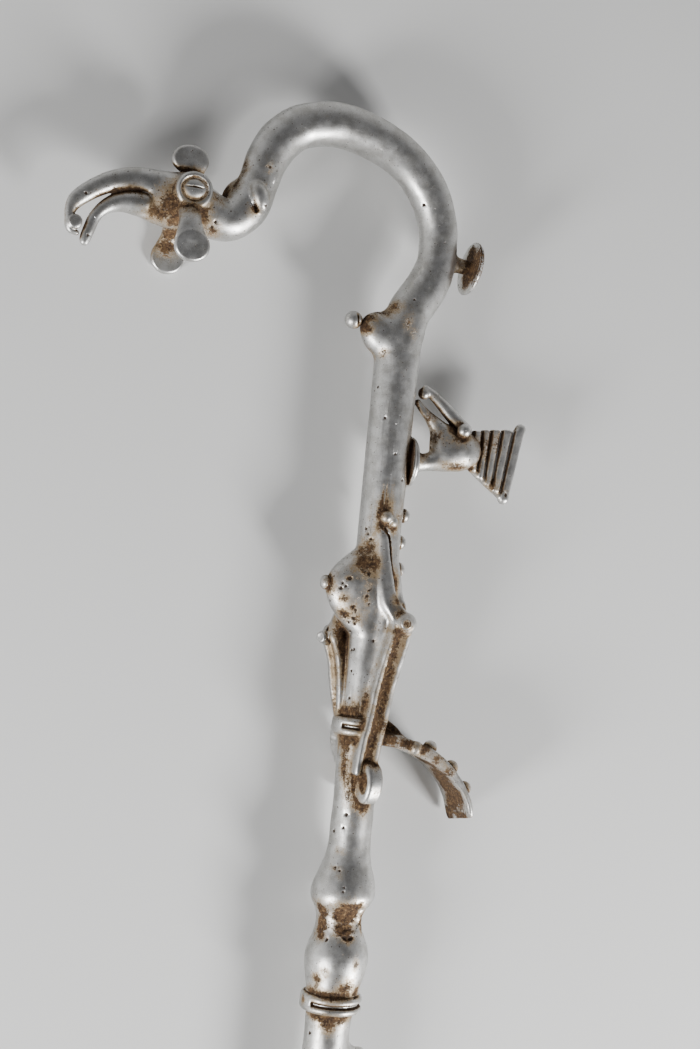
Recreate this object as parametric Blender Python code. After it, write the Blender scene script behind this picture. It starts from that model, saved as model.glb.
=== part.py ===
"""Ceremonial staff: one metal casting in the form of a long-necked bird, lying on its side.

The staff is modelled in its own frame. Y runs up the shaft to the crook, -X is the front, where the
bird looks, +X is its back and +Z its near side. Y is 0 at the neck root, where the crook leaves the
shaft, and a station is a distance below it. The azimuth of a place on the shaft turns from +Z
towards +X. At the end an empty lays the staff on its far side, with the floor at Z = 0.
"""

import math

import bmesh
import bpy
from mathutils import Vector

MM = 0.001

# Sides of the round forms
SHAFT_SIDES = 14
BAND_SIDES = 18
DISC_SIDES = 14
HEAD_SIDES = 12
KNOB_SIDES = 8
TUBE_SIDES = 8

# Shaft, with its radius at the stations where it changes
SHAFT_LENGTH = 975 * MM
NECK_ROOT_RADIUS = 11.3 * MM
CHEST_RADIUS = 11.0 * MM
COLUMN_RADIUS = 10.2 * MM
GRIP_RADIUS = 11.9 * MM
FOOT_RADIUS = 9.5 * MM
CHEST_STATION = 60 * MM
COLUMN_STATION = 160 * MM
SHAFT_DRIFT = (
    (975.0, 0.0), (330.0, 0.0), (310.0, 0.7), (292.0, 0.9), (276.0, 0.1), (261.0, 1.3), (245.0, 1.6),
    (220.0, 1.6), (205.0, 1.0), (184.3, 0.2), (90.0, 0.3), (20.0, 0.3), (0.0, 0.2), (-2.0, 0.2),
)

# Swellings and bands of the shaft
UPPER_BULB_STATION = 268.5 * MM
LOWER_BULB_STATION = 298.5 * MM
BULB_SWELL = 4.8 * MM
BULB_REACH = 20 * MM
BULB_WAIST = 15 * MM
COLLAR_STATION = 323 * MM
WAIST_STATION = 184.3 * MM
BAND_RISE = 3.5 * MM
BAND_HEIGHT = 9.2 * MM
BAND_LIP = 1.3 * MM
BAND_GROOVE = 2.2 * MM
BAND_CLOSED_FROM = -142.0
BAND_CLOSED_TO = -62.0
PLAIN_RING_STATION = 640 * MM
PLAIN_RING_RISE = 3.2 * MM
FOOT_KNOB_ABOVE_END = 13 * MM
FOOT_KNOB_RISE = 3.5 * MM
FOOT_KNOB_REACH = 13 * MM

# Crook: the neck's centreline, with its points as hundredths of the crook's height
CROOK_HEIGHT = 111 * MM
NECK_RADIUS = 10.5 * MM
NECK_POINTS = (
    (0.2, 3.0, 1.08),
    (0.9, 12.0, 1.08),
    (4.1, 23.0, 1.05),
    (10.9, 34.9, 1.02),
    (14.1, 45.0, 0.95),
    (14.3, 54.1, 0.92),
    (13.0, 63.2, 0.94),
    (8.0, 75.3, 0.97),
    (-1.3, 86.3, 0.98),
    (-13.9, 94.1, 1.01),
    (-29.3, 98.9, 1.04),
    (-41.9, 99.9, 1.05),
    (-55.6, 96.6, 1.03),
    (-64.6, 89.5, 1.03),
    (-70.1, 79.8, 0.99),
    (-73.0, 69.4, 0.94),
    (-76.6, 58.2, 0.99),
    (-83.6, 51.0, 0.96),
    (-92.8, 51.0, 1.02),
)
HEAD_PLACE = (-105.4, 55.0)

# Head: points around its centre as hundredths of its size, which is its height
HEAD_SIZE = 25 * MM
HEAD_POINTS = (
    (68.0, -17.0, 38.0, 38.0),
    (48.0, -14.0, 45.0, 44.0),
    (20.0, -4.0, 50.0, 48.0),
    (-12.0, 4.0, 51.0, 47.0),
    (-38.0, 8.0, 48.0, 40.0),
    (-60.0, 11.0, 43.0, 31.0),
)
UPPER_BEAK_POINTS = (
    (-50.0, 26.0, 32.0, 28.0),
    (-74.0, 32.0, 27.0, 24.0),
    (-100.0, 33.0, 22.5, 20.0),
    (-130.0, 29.5, 18.0, 17.0),
    (-162.0, 15.5, 17.5, 15.0),
    (-190.0, -5.0, 16.5, 14.0),
    (-208.0, -29.0, 14.5, 12.5),
    (-216.0, -52.0, 12.0, 11.0),
    (-216.0, -74.0, 10.5, 9.5),
    (-211.0, -84.0, 8.5, 8.0),
)
LOWER_BEAK_POINTS = (
    (-46.0, -15.0, 26.0, 26.0),
    (-70.0, -15.0, 23.0, 22.0),
    (-92.0, -15.5, 20.5, 19.5),
    (-118.0, -20.0, 18.5, 17.0),
    (-144.0, -30.0, 15.5, 14.5),
    (-163.0, -46.0, 13.2, 12.5),
    (-175.0, -66.0, 12.4, 11.5),
    (-183.0, -88.0, 12.8, 10.5),
    (-187.0, -104.0, 9.5, 8.5),
)
TIP_BEAD_PLACE = (-204.5, -66.0)
TIP_BEAD_RADIUS = 3.2 * MM
EYE_PLACE = (5.0, 20.0)
EYE_RADIUS = 8.5 * MM
EYE_REACH = 14.6 * MM
EYE_CUP = 1.7 * MM
BEAN_RADIUS = 5.5 * MM
BEAN_RISE = 2.0 * MM
SLIT_WIDTH = 0.9 * MM
COMB_PLACE = (5.0, 83.0)
COMB_RADIUS = 8.3 * MM
COMB_THICK = 5.2 * MM
COMB_STEM_FOOT = (30.0, 36.0)
COMB_STEM_RADIUS = 3.8 * MM
NEAR_WATTLE_PLACE = (2.0, -88.0)
FAR_WATTLE_PLACE = (-4.0, -97.0)
WATTLE_RADIUS = 8.1 * MM
WATTLE_THICK = 4.6 * MM
WATTLE_SPREAD = 20.3 * MM
WATTLE_STEM_RADIUS = 5.3 * MM
TUFT_PLACE = (134.0, 33.0)
TUFT_FAR_PLACE = (99.0, 31.0)
TUFT_OUT = 8.4 * MM
TUFT_HALF_LENGTH = 7.2 * MM
TUFT_HALF_WIDTH = 3.9 * MM

# Throat spur with its slit bead, and the disc on the back of the neck
SPUR_STATION = -13 * MM
SPUR_LENGTH = 25 * MM
SPUR_RISE = 4.0 * MM
SPUR_BEAD_RADIUS = 4.6 * MM
NECK_DISC_SHARE = 0.225
NECK_DISC_RADIUS = 14.2 * MM
NECK_DISC_THICK = 3.0 * MM
NECK_DISC_TILT = -4.0
NECK_DISC_LIFT = 2.2 * MM
NECK_DISC_GAP = 8.4 * MM
NECK_DISC_STEM_RADIUS = 4.0 * MM

# Small bird on its peg, with points around its body's centre as hundredths of its length
PEG_STATION = 48.5 * MM
PEG_RADIUS = 4.9 * MM
PEG_PLATE_DROP = 1.6 * MM
PEG_PLATE_RADIUS = 12.8 * MM
PEG_PLATE_THICK = 2.5 * MM
BIRD_OUT = 37.5 * MM
BIRD_SIZE = 24 * MM
BIRD_RISE = 6.5 * MM
BIRD_THICK = 18 * MM
BIRD_UPPER_BEAK_POINTS = (
    (12.0, 46.0, 16.0, 15.0),
    (-8.0, 64.0, 12.5, 13.0),
    (-40.0, 89.0, 10.5, 11.0),
    (-69.0, 112.0, 9.0, 9.5),
    (-85.0, 122.0, 8.0, 8.5),
)
BIRD_LOWER_BEAK_POINTS = (
    (-20.0, -8.0, 40.0, 33.0),
    (-29.0, 22.0, 35.0, 27.0),
    (-42.0, 47.0, 22.0, 18.0),
    (-60.0, 69.0, 12.0, 12.0),
    (-78.0, 83.0, 8.5, 9.0),
    (-96.0, 95.0, 7.0, 8.0),
)
BIRD_BEAD_PLACE = (-87.0, 113.0)
BIRD_BEAD_RADIUS = 3.0 * MM
BIRD_EYE_PLACE = (-2.0, 44.0)
BIRD_EYE_RADIUS = 3.5 * MM
FAN_TOP = ((35.0, 48.0), (160.0, 63.0))
FAN_FOOT = ((28.0, -38.0), (127.0, -102.0))
FAN_RIBS = 5
FAN_THICK = 4.2 * MM
FAN_BEAD_RADIUS = 2.6 * MM

# Knobs, belly and limbs of the body
KNOB_RADIUS = 3.5 * MM
KNOB_RISE = 3.0 * MM
SHOULDER_STATION = 79 * MM
SHOULDER_AZIMUTH = -5.0
SPINE_STATION = 77.4 * MM
SPINE_PITCH = 13.6 * MM
SPINE_KNOBS = 3
BELLY_STATION = 115.5 * MM
BELLY_OUT = 14.8 * MM
BELLY_HALF_HEIGHT = 21 * MM
BELLY_HALF_WIDTH = 13 * MM
BACK_SWELL = 3.2 * MM
LIMB_WIDTH = 10.4 * MM
LIMB_RIDGE = 2.2 * MM
LIMB_HEAD = 2.6 * MM
LIMB_WEB = 0.62
LIMB_SECTION = (
    (-1.0, 0.0),
    (-0.86, 0.8),
    (-0.66, 1.0),
    (-0.46, 0.75),
    (-0.34, 0.0),
    (0.34, 0.0),
    (0.46, 0.75),
    (0.66, 1.0),
    (0.86, 0.8),
    (1.0, 0.0),
)
NEAR_LIMB = (
    (84.0, -7.0, 0.6, 0.62, -7.0, 0.0),
    (96.0, -6.0, 0.9, 0.64, -6.0, 0.0),
    (107.0, 0.0, 1.6, 0.66, -2.0, 0.0),
    (116.0, 9.0, 3.2, 0.68, 4.0, 0.1),
    (123.5, 23.0, 6.4, 0.74, 12.0, 0.4),
    (131.0, 36.0, 10.8, 0.86, 16.0, 0.8),
    (140.0, 35.0, 9.2, 0.94, 14.0, 1.0),
    (152.0, 30.0, 6.6, 1.0, 10.0, 1.0),
    (165.0, 23.0, 4.8, 1.06, 8.0, 1.0),
    (178.0, 15.5, 4.2, 1.08, 6.0, 1.0),
    (190.0, 9.0, 3.4, 1.04, 5.0, 1.0),
    (201.0, 5.0, 3.0, 1.0, 5.0, 1.0),
)
FAR_LIMB = (
    (84.0, 187.0, 0.6, 0.62, 187.0, 0.0),
    (98.0, 190.0, 0.9, 0.64, 190.0, 0.0),
    (112.0, 200.0, 2.0, 0.66, 200.0, 0.0),
    (124.0, 214.0, 4.2, 0.70, 214.0, 0.3),
    (134.0, 228.0, 8.6, 0.76, 228.0, 0.8),
    (141.5, 234.0, 11.6, 0.80, 234.0, 1.0),
    (151.0, 232.0, 7.2, 0.84, 232.0, 1.0),
    (165.0, 228.0, 3.4, 0.90, 228.0, 1.0),
    (178.0, 219.0, 1.2, 0.96, 219.0, 1.0),
    (190.0, 199.0, 2.4, 1.0, 199.0, 1.0),
    (201.0, 178.0, 3.0, 1.0, 178.0, 1.0),
)
NEAR_ELBOW_RADIUS = 5.3 * MM
FAR_ELBOW_RADIUS = 4.4 * MM
HAND_STATION = 211 * MM
NEAR_HAND_AZIMUTH = 14.0
FAR_HAND_AZIMUTH = 170.0
HAND_HALF_HEIGHT = 10.4 * MM
HAND_WIDTH = 9.6 * MM
HAND_OUT = 20.5 * MM
HAND_WALL = 3.4 * MM
HAND_HOLLOW = 2.2 * MM

# Strap tail: its centreline as (out from the axis, station), with its thickness
STRAP_WIDTH = 35 * MM
STRAP_SKEW = 7.0 * MM
STRAP_POINTS = (
    (8.0, 189.0, 5.2),
    (17.0, 189.6, 5.4),
    (26.0, 192.2, 5.6),
    (34.5, 195.0, 5.2),
    (42.0, 199.6, 4.4),
    (48.5, 205.2, 3.6),
    (54.0, 212.0, 2.9),
    (57.8, 219.0, 2.5),
    (60.6, 228.5, 2.3),
)
STRAP_PRONG_STATION = 180 * MM
STUD_RADIUS = 3.2 * MM
STUD_RISE = 2.2 * MM
STUD_SHARES = (0.36, 0.57, 0.77)

# Low spur with a blunt bead, at the back of the grip
LOW_STUD_STATION = 350.5 * MM
LOW_STUD_ROOT_RADIUS = 8.6 * MM
LOW_STUD_RADIUS = 4.4 * MM
LOW_STUD_OUT = 22 * MM

# Flat spots where the lying staff rests on its far side
REST_FLAT = 0.4 * MM

SHARP_EDGE = math.radians(38)

METAL_COLOUR = (0.60, 0.59, 0.56, 1.0)


def smooth_points(points, steps):
    """A smooth curve through points of any number of columns, with `steps` parts between two."""
    padded = [points[0], *points, points[-1]]
    curve = []
    for i in range(1, len(padded) - 2):
        before, start, end, after = padded[i - 1:i + 3]
        for step in range(steps):
            t = step / steps
            curve.append(tuple(
                0.5 * (2 * b + (c - a) * t + (2 * a - 5 * b + 4 * c - d) * t * t
                       + (3 * b - a - 3 * c + d) * t ** 3)
                for a, b, c, d in zip(before, start, end, after)
            ))
    curve.append(tuple(points[-1]))
    return curve


def mesh_object(name, bm):
    """The bmesh as an object, with its faces turned outwards."""
    bmesh.ops.recalc_face_normals(bm, faces=bm.faces)
    if bm.calc_volume(signed=True) < 0:
        bmesh.ops.reverse_faces(bm, faces=bm.faces)
    mesh = bpy.data.meshes.new(name)
    bm.to_mesh(mesh)
    bm.free()
    obj = bpy.data.objects.new(name, mesh)
    mesh.shade_smooth()
    mesh.set_sharp_from_angle(angle=SHARP_EDGE)
    return obj


def helper(name, bm, collection):
    """A hidden operand of one of the staff's Booleans."""
    obj = mesh_object(name, bm)
    obj.display_type = "WIRE"
    obj.hide_render = True
    collection.objects.link(obj)
    return obj


def skin(rings):
    """A closed bmesh over rings of points, each end closed by one face."""
    bm = bmesh.new()
    loops = [[bm.verts.new(point) for point in ring] for ring in rings]
    for first, second in zip(loops, loops[1:]):
        count = len(first)
        for i in range(count):
            bm.faces.new((first[i], first[(i + 1) % count], second[(i + 1) % count], second[i]))
    bm.faces.new(loops[0])
    bm.faces.new(loops[-1])
    return bm


def tangents_of(path):
    """The direction of a path at each of its points."""
    last = len(path) - 1
    return [(path[min(i + 1, last)] - path[max(i - 1, 0)]).normalized() for i in range(last + 1)]


def oval_ring(centre, tall, wide, sides):
    """Points of an oval whose half axes are two vectors."""
    turns = [2 * math.pi * i / sides for i in range(sides)]
    return [centre + tall * math.cos(turn) + wide * math.sin(turn) for turn in turns]


def flat_tube(points, sides, round_end=True):
    """A tube whose path lies in the staff's middle plane.

    Each point is (x, y, half height, half width), and the width runs along Z.
    """
    path = [Vector((x, y, 0)) for x, y, _, _ in points]
    tangents = tangents_of(path)
    rings = []
    for centre, tangent, (_, _, tall, wide) in zip(path, tangents, points):
        up = Vector((-tangent.y, tangent.x, 0))
        rings.append((centre, up * tall, Vector((0, 0, wide))))
    if round_end:
        rings += rounded_cap(rings[-1], tangents[-1], min(points[-1][2:]))
    return skin([oval_ring(centre, tall, wide, sides) for centre, tall, wide in rings])


def rounded_cap(ring, direction, reach):
    """Rings that round off a tube's end, past its last ring."""
    centre, tall, wide = ring
    turns = [math.radians(turn) for turn in (42, 76)]
    return [
        (centre + direction * reach * math.sin(turn), tall * math.cos(turn), wide * math.cos(turn))
        for turn in turns
    ]


def turned(profile, origin, axis, side, sides):
    """A turned body: a profile of (radius, height) round an axis, closed at both ends."""
    axis = axis.normalized()
    first = (side - axis * side.dot(axis)).normalized()
    second = axis.cross(first)
    return skin([
        oval_ring(origin + axis * height, first * radius, second * radius, sides)
        for radius, height in profile
    ])


def ball_profile(radius, rise, steps=4):
    """Half an outline of a ball or a flattened ball, from pole to pole."""
    turns = [math.pi * (i + 0.35) / (steps + 0.7 - 1) for i in range(steps)]
    return [(radius * math.sin(turn), -rise * math.cos(turn)) for turn in turns]


def disc_profile(radius, thick):
    """A disc with a rounded rim."""
    half = thick / 2
    return (
        (radius - half * 0.8, -half),
        (radius, -half * 0.4),
        (radius, half * 0.4),
        (radius - half * 0.8, half),
    )


def oval_ball(centre, axes):
    """A ball with three half axes given as vectors. The first runs from pole to pole."""
    pole, tall, wide = axes
    rings = []
    steps = 6
    for i in range(steps):
        turn = math.pi * (i + 0.4) / (steps - 0.2)
        rings.append(oval_ring(
            centre - pole * math.cos(turn), tall * math.sin(turn), wide * math.sin(turn), KNOB_SIDES
        ))
    return skin(rings)


def box_between(low, high):
    """An upright box between two corners."""
    bm = bmesh.new()
    bmesh.ops.create_cube(bm, size=1.0)
    for vertex in bm.verts:
        vertex.co = Vector(
            high[k] if vertex.co[k] > 0 else low[k] for k in range(3)
        )
    return bm


def base_radius(station):
    """The shaft's radius without its swellings."""
    places = (
        (0.0, NECK_ROOT_RADIUS),
        (CHEST_STATION, CHEST_RADIUS),
        (COLUMN_STATION, COLUMN_RADIUS),
        (UPPER_BULB_STATION, CHEST_RADIUS),
        (COLLAR_STATION, GRIP_RADIUS),
        (SHAFT_LENGTH, FOOT_RADIUS),
    )
    if station <= 0:
        return NECK_ROOT_RADIUS
    for (start, first), (end, second) in zip(places, places[1:]):
        if station <= end:
            return first + (second - first) * (station - start) / (end - start)
    return FOOT_RADIUS


def swelling(station, peak, reach_up, reach_down, rise):
    """How far one rounded swelling lifts the shaft's skin."""
    reach = reach_up if station < peak else reach_down
    share = abs(station - peak) / reach
    return rise * math.cos(math.pi / 2 * share) ** 2 if share < 1 else 0.0


def shaft_radius(station):
    """The shaft's radius with its swellings."""
    foot_knob = SHAFT_LENGTH - FOOT_KNOB_ABOVE_END
    return base_radius(station) + max(
        swelling(station, UPPER_BULB_STATION, BULB_REACH, BULB_WAIST, BULB_SWELL),
        swelling(station, LOWER_BULB_STATION, BULB_WAIST, BULB_REACH * 1.25, BULB_SWELL),
        swelling(station, foot_knob, FOOT_KNOB_REACH, FOOT_KNOB_ABOVE_END, FOOT_KNOB_RISE),
    )


def on_shaft(station, azimuth, radius):
    """A point at a station, at an azimuth in degrees and a radius from the axis."""
    turn = math.radians(azimuth)
    return Vector((radius * math.sin(turn), -station, radius * math.cos(turn)))


def outward(azimuth):
    """The direction away from the shaft at an azimuth."""
    return on_shaft(0, azimuth, 1.0)


def shaft_drift(station):
    """How far the shaft's centre wanders towards its back, as it does in a hand-made casting."""
    for (low, first), (high, second) in zip(SHAFT_DRIFT, SHAFT_DRIFT[1:]):
        if station >= high * MM:
            share = (low * MM - station) / (low * MM - high * MM)
            return (first + (second - first) * share) * MM
    return SHAFT_DRIFT[-1][1] * MM


def neck_points():
    """The neck's centreline and radii, from the neck root to the head."""
    unit = CROOK_HEIGHT / 100
    return smooth_points([
        (x * unit, y * unit, share * NECK_RADIUS, share * NECK_RADIUS)
        for x, y, share in NECK_POINTS
    ], 2)


def shaft_stations():
    """Stations of the shaft's rings, closer where its outline swells."""
    edges = [
        -2 * MM, CHEST_STATION, WAIST_STATION, UPPER_BULB_STATION - BULB_REACH,
    ]
    top = UPPER_BULB_STATION - BULB_REACH
    pitch = BULB_REACH / 4
    while top < LOWER_BULB_STATION + BULB_REACH * 1.2:
        top += pitch
        edges.append(top)
    foot_knob = SHAFT_LENGTH - FOOT_KNOB_ABOVE_END
    edges.append(foot_knob - FOOT_KNOB_REACH)
    steps = 4
    for i in range(1, steps + 1):
        edges.append(foot_knob - FOOT_KNOB_REACH * (1 - i / steps))
    for i in range(1, steps):
        edges.append(foot_knob + FOOT_KNOB_ABOVE_END * i / steps)
    edges.append(SHAFT_LENGTH)
    return edges


def make_body():
    """The shaft and the crook as one tube, from the foot to the head."""
    points = []
    for station in reversed(shaft_stations()):
        radius = shaft_radius(station)
        points.append((shaft_drift(station), -station, radius, radius))
    points += neck_points()
    points.append((*crook_point(*HEAD_PLACE)[:2], HEAD_SIZE * 0.4, HEAD_SIZE * 0.38))
    return mesh_object("staff", flat_tube(points, SHAFT_SIDES, round_end=False))


def crook_point(across, up):
    """A point of the crook's plane, from hundredths of its height."""
    return Vector((across, up, 0)) * (CROOK_HEIGHT / 100)


def head_point(across, up, out=0.0):
    """A point near the head, from hundredths of its size, and a distance to its near side."""
    point = crook_point(*HEAD_PLACE) + Vector((across, up, 0)) * (HEAD_SIZE / 100)
    return point + Vector((0, 0, out))


def scaled_points(points, place, size):
    """Tube points (x, y, half height, half width) in hundredths, round a centre."""
    unit = size / 100
    return smooth_points([
        (place.x + x * unit, place.y + y * unit, tall * unit, wide * unit)
        for x, y, tall, wide in points
    ], 2)


def make_head(add):
    """The head with its two beaks and the bead in the upper one's hook."""
    centre = crook_point(*HEAD_PLACE)
    head = scaled_points(HEAD_POINTS, centre, HEAD_SIZE)
    helper("head", flat_tube(head, HEAD_SIDES), add)
    upper = scaled_points(UPPER_BEAK_POINTS, centre, HEAD_SIZE)
    helper("upper_beak", flat_tube(upper, TUBE_SIDES), add)
    lower = scaled_points(LOWER_BEAK_POINTS, centre, HEAD_SIZE)
    helper("lower_beak", flat_tube(lower, TUBE_SIDES), add)
    bead = turned(
        ball_profile(TIP_BEAD_RADIUS, TIP_BEAD_RADIUS), head_point(*TIP_BEAD_PLACE),
        Vector((0, 0, 1)), Vector((1, 0, 0)), TUBE_SIDES,
    )
    helper("tip_bead", bead, add)


def make_eye(side, add, cut):
    """A ring-shaped eye on one side of the head, with a slit bean in it."""
    out = Vector((0, 0, side))
    foot = head_point(*EYE_PLACE)
    ring = turned(
        (
            (EYE_RADIUS * 1.06, 0),
            (EYE_RADIUS, EYE_REACH - 0.9 * MM),
            (EYE_RADIUS - 0.9 * MM, EYE_REACH),
            (BEAN_RADIUS * 0.5, EYE_REACH + 0.7 * MM),
        ),
        foot, out, Vector((1, 0, 0)), DISC_SIDES,
    )
    helper(f"eye_ring_{side}", ring, add)
    groove = turned(
        (
            (BEAN_RADIUS + 1.1 * MM, EYE_REACH + 1 * MM),
            (BEAN_RADIUS + 0.9 * MM, EYE_REACH - EYE_CUP),
            (BEAN_RADIUS, EYE_REACH - EYE_CUP),
            (BEAN_RADIUS, EYE_REACH + 1 * MM),
        ),
        foot, out, Vector((1, 0, 0)), DISC_SIDES,
    )
    close_round_groove(groove)
    helper(f"eye_groove_{side}", groove, cut)
    slit_centre = foot + out * (EYE_REACH + 0.2 * MM)
    reach = Vector((BEAN_RADIUS * 0.94, SLIT_WIDTH / 2, 1.2 * MM))
    helper(f"eye_slit_{side}", box_between(slit_centre - reach, slit_centre + reach), cut)


def close_round_groove(bm):
    """Turns a turned groove's four rings into a closed tube, without its two end faces."""
    bm.faces.ensure_lookup_table()
    ends = list(bm.faces)[-2:]
    loops = [list(face.verts) for face in ends]
    bmesh.ops.delete(bm, geom=ends, context="FACES_ONLY")
    count = len(loops[0])
    for i in range(count):
        bm.faces.new((loops[0][i], loops[0][(i + 1) % count], loops[1][(i + 1) % count], loops[1][i]))


def make_comb(add):
    """The round comb on its stem over the eye."""
    top = head_point(*COMB_PLACE)
    foot = head_point(*COMB_STEM_FOOT)
    disc = turned(
        disc_profile(COMB_RADIUS, COMB_THICK), top, Vector((0, 0, 1)), Vector((1, 0, 0)), DISC_SIDES
    )
    helper("comb", disc, add)
    stem = [
        (foot.x, foot.y, COMB_STEM_RADIUS, COMB_THICK * 0.62),
        ((foot.x + top.x) / 2, (foot.y + top.y) / 2, COMB_STEM_RADIUS * 0.9, COMB_THICK * 0.45),
        (top.x, top.y, COMB_STEM_RADIUS * 0.9, COMB_THICK * 0.4),
    ]
    helper("comb_stem", flat_tube(stem, TUBE_SIDES), add)


def make_wattle(side, add):
    """A wattle: a paddle that hangs beside the throat, on a stem from the head."""
    place = NEAR_WATTLE_PLACE if side > 0 else FAR_WATTLE_PLACE
    centre = head_point(*place, side * WATTLE_SPREAD)
    disc = turned(
        disc_profile(WATTLE_RADIUS, WATTLE_THICK), centre, Vector((0, 0, 1)), Vector((1, 0, 0)), DISC_SIDES
    )
    helper(f"wattle_{side}", disc, add)
    root = head_point(place[0], -20, side * HEAD_SIZE * 0.18)
    bend = head_point(place[0], -56, side * WATTLE_SPREAD * 0.82)
    points = smooth_points([tuple(root), tuple(bend), tuple(centre)], 3)
    path = [Vector(point) for point in points]
    rings = []
    for i, (point, tangent) in enumerate(zip(path, tangents_of(path))):
        share = i / (len(path) - 1)
        wide = Vector((WATTLE_STEM_RADIUS * (1.15 - 0.15 * share), 0, 0))
        tall = tangent.cross(Vector((1, 0, 0))) * (WATTLE_THICK * (0.85 - 0.4 * share))
        rings.append(oval_ring(point, tall, wide, TUBE_SIDES))
    helper(f"wattle_stem_{side}", skin(rings), add)


def make_tufts(add):
    """The two lumps beside the bend behind the head."""
    lean = Vector((0.22, -0.97, 0)).normalized()
    for side, place in ((1, TUFT_PLACE), (-1, TUFT_FAR_PLACE)):
        centre = head_point(*place, side * TUFT_OUT)
        across = Vector((lean.y, -lean.x, 0))
        axes = (lean * TUFT_HALF_LENGTH, across * TUFT_HALF_WIDTH, Vector((0, 0, TUFT_HALF_WIDTH)))
        helper(f"tuft_{side}", oval_ball(centre, axes), add)


def make_spur(add, cut):
    """The pointed throat spur, which ends in a slit bead."""
    tip = Vector((-SPUR_LENGTH, -SPUR_STATION + SPUR_RISE, 0))
    root = Vector((0, -SPUR_STATION, 0))
    points = []
    for share, radius in ((0, 14.5), (0.3, 12.2), (0.5, 8.8), (0.7, 6.2), (0.86, 4.7)):
        point = root.lerp(tip, share)
        points.append((point.x, point.y, radius * MM, radius * 0.86 * MM))
    helper("spur", flat_tube(points, HEAD_SIDES, round_end=False), add)
    bead = turned(
        ball_profile(SPUR_BEAD_RADIUS, SPUR_BEAD_RADIUS, 6), tip,
        Vector((0, 0, 1)), Vector((1, 0, 0)), HEAD_SIDES,
    )
    helper("spur_bead", bead, add)
    for side in (1, -1):
        centre = tip + Vector((0.6 * MM, 0, side * SPUR_BEAD_RADIUS))
        reach = Vector((SLIT_WIDTH / 2, SPUR_BEAD_RADIUS * 0.7, 0.9 * MM))
        helper(f"spur_slit_{side}", box_between(centre - reach, centre + reach), cut)


def make_neck_disc(add):
    """The disc that stands off the back of the neck on a short stem."""
    points = neck_points()
    place = round(NECK_DISC_SHARE * (len(points) - 1))
    path = [Vector((x, y, 0)) for x, y, _, _ in points]
    tilt = math.radians(NECK_DISC_TILT)
    out = Vector((math.cos(tilt), math.sin(tilt), 0))
    inner = points[place][2] + NECK_DISC_GAP
    root = path[place] + Vector((0, NECK_DISC_LIFT, 0))
    centre = root + out * (inner + NECK_DISC_THICK / 2)
    profile = (
        (NECK_DISC_RADIUS - 0.8 * MM, -NECK_DISC_THICK / 2),
        (NECK_DISC_RADIUS, -NECK_DISC_THICK * 0.2),
        (NECK_DISC_RADIUS * 0.9, NECK_DISC_THICK * 0.2),
        (NECK_DISC_RADIUS * 0.35, NECK_DISC_THICK * 0.6),
    )
    helper("neck_disc", turned(profile, centre, out, Vector((0, 0, 1)), BAND_SIDES), add)
    stem = (
        (NECK_DISC_STEM_RADIUS * 1.3, 0),
        (NECK_DISC_STEM_RADIUS, inner - NECK_DISC_GAP * 0.6),
        (NECK_DISC_STEM_RADIUS * 1.25, inner + NECK_DISC_THICK / 2),
    )
    helper("neck_disc_stem", turned(stem, root, out, Vector((0, 0, 1)), TUBE_SIDES), add)


def bird_point(across, up, out=0.0):
    """A point of the small bird, from hundredths of its length."""
    centre = Vector((BIRD_OUT, BIRD_RISE - PEG_STATION, 0))
    return centre + Vector((across, up, 0)) * (BIRD_SIZE / 100) + Vector((0, 0, out))


def make_bird(add):
    """The small bird on the shaft's back: plate, peg, body, beaks, eyes and beads."""
    back = Vector((1, 0, 0))
    root = Vector((0, -PEG_STATION, 0))
    near_skin = shaft_radius(PEG_STATION)
    plate = turned(
        disc_profile(PEG_PLATE_RADIUS, PEG_PLATE_THICK),
        root + Vector((near_skin + PEG_PLATE_THICK / 2, -PEG_PLATE_DROP, 0)), back,
        Vector((0, 0, 1)), DISC_SIDES,
    )
    helper("peg_plate", plate, add)
    body = bird_point(0, 0)
    peg_end = near_skin + PEG_PLATE_THICK
    peg = smooth_points([
        (near_skin * 0.5, root.y, PEG_RADIUS * 1.2, PEG_RADIUS * 1.2),
        (peg_end + 1.0 * MM, root.y, PEG_RADIUS * 1.12, PEG_RADIUS * 1.12),
        (peg_end + 7.0 * MM, root.y, PEG_RADIUS * 0.94, PEG_RADIUS * 0.94),
        (body.x - BIRD_SIZE * 0.3, body.y - BIRD_SIZE * 0.16, BIRD_SIZE * 0.3, BIRD_THICK * 0.4),
        (body.x, body.y, BIRD_SIZE * 0.43, BIRD_THICK * 0.5),
        (body.x + BIRD_SIZE * 0.25, body.y + BIRD_SIZE * 0.03, BIRD_SIZE * 0.36, BIRD_THICK * 0.38),
    ], 2)
    helper("bird_body", flat_tube(peg, HEAD_SIDES), add)
    upper = scaled_points(BIRD_UPPER_BEAK_POINTS, body, BIRD_SIZE)
    helper("bird_upper_beak", flat_tube(upper, TUBE_SIDES), add)
    lower = scaled_points(BIRD_LOWER_BEAK_POINTS, body, BIRD_SIZE)
    helper("bird_lower_beak", flat_tube(lower, TUBE_SIDES), add)
    bead = turned(
        ball_profile(BIRD_BEAD_RADIUS, BIRD_BEAD_RADIUS), bird_point(*BIRD_BEAD_PLACE),
        Vector((0, 0, 1)), back, TUBE_SIDES,
    )
    helper("bird_bead", bead, add)
    for side in (1, -1):
        eye = turned(
            ball_profile(BIRD_EYE_RADIUS, BIRD_EYE_RADIUS),
            bird_point(*BIRD_EYE_PLACE, side * BIRD_THICK * 0.36), Vector((0, 0, 1)), back, TUBE_SIDES,
        )
        helper(f"bird_eye_{side}", eye, add)


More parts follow.
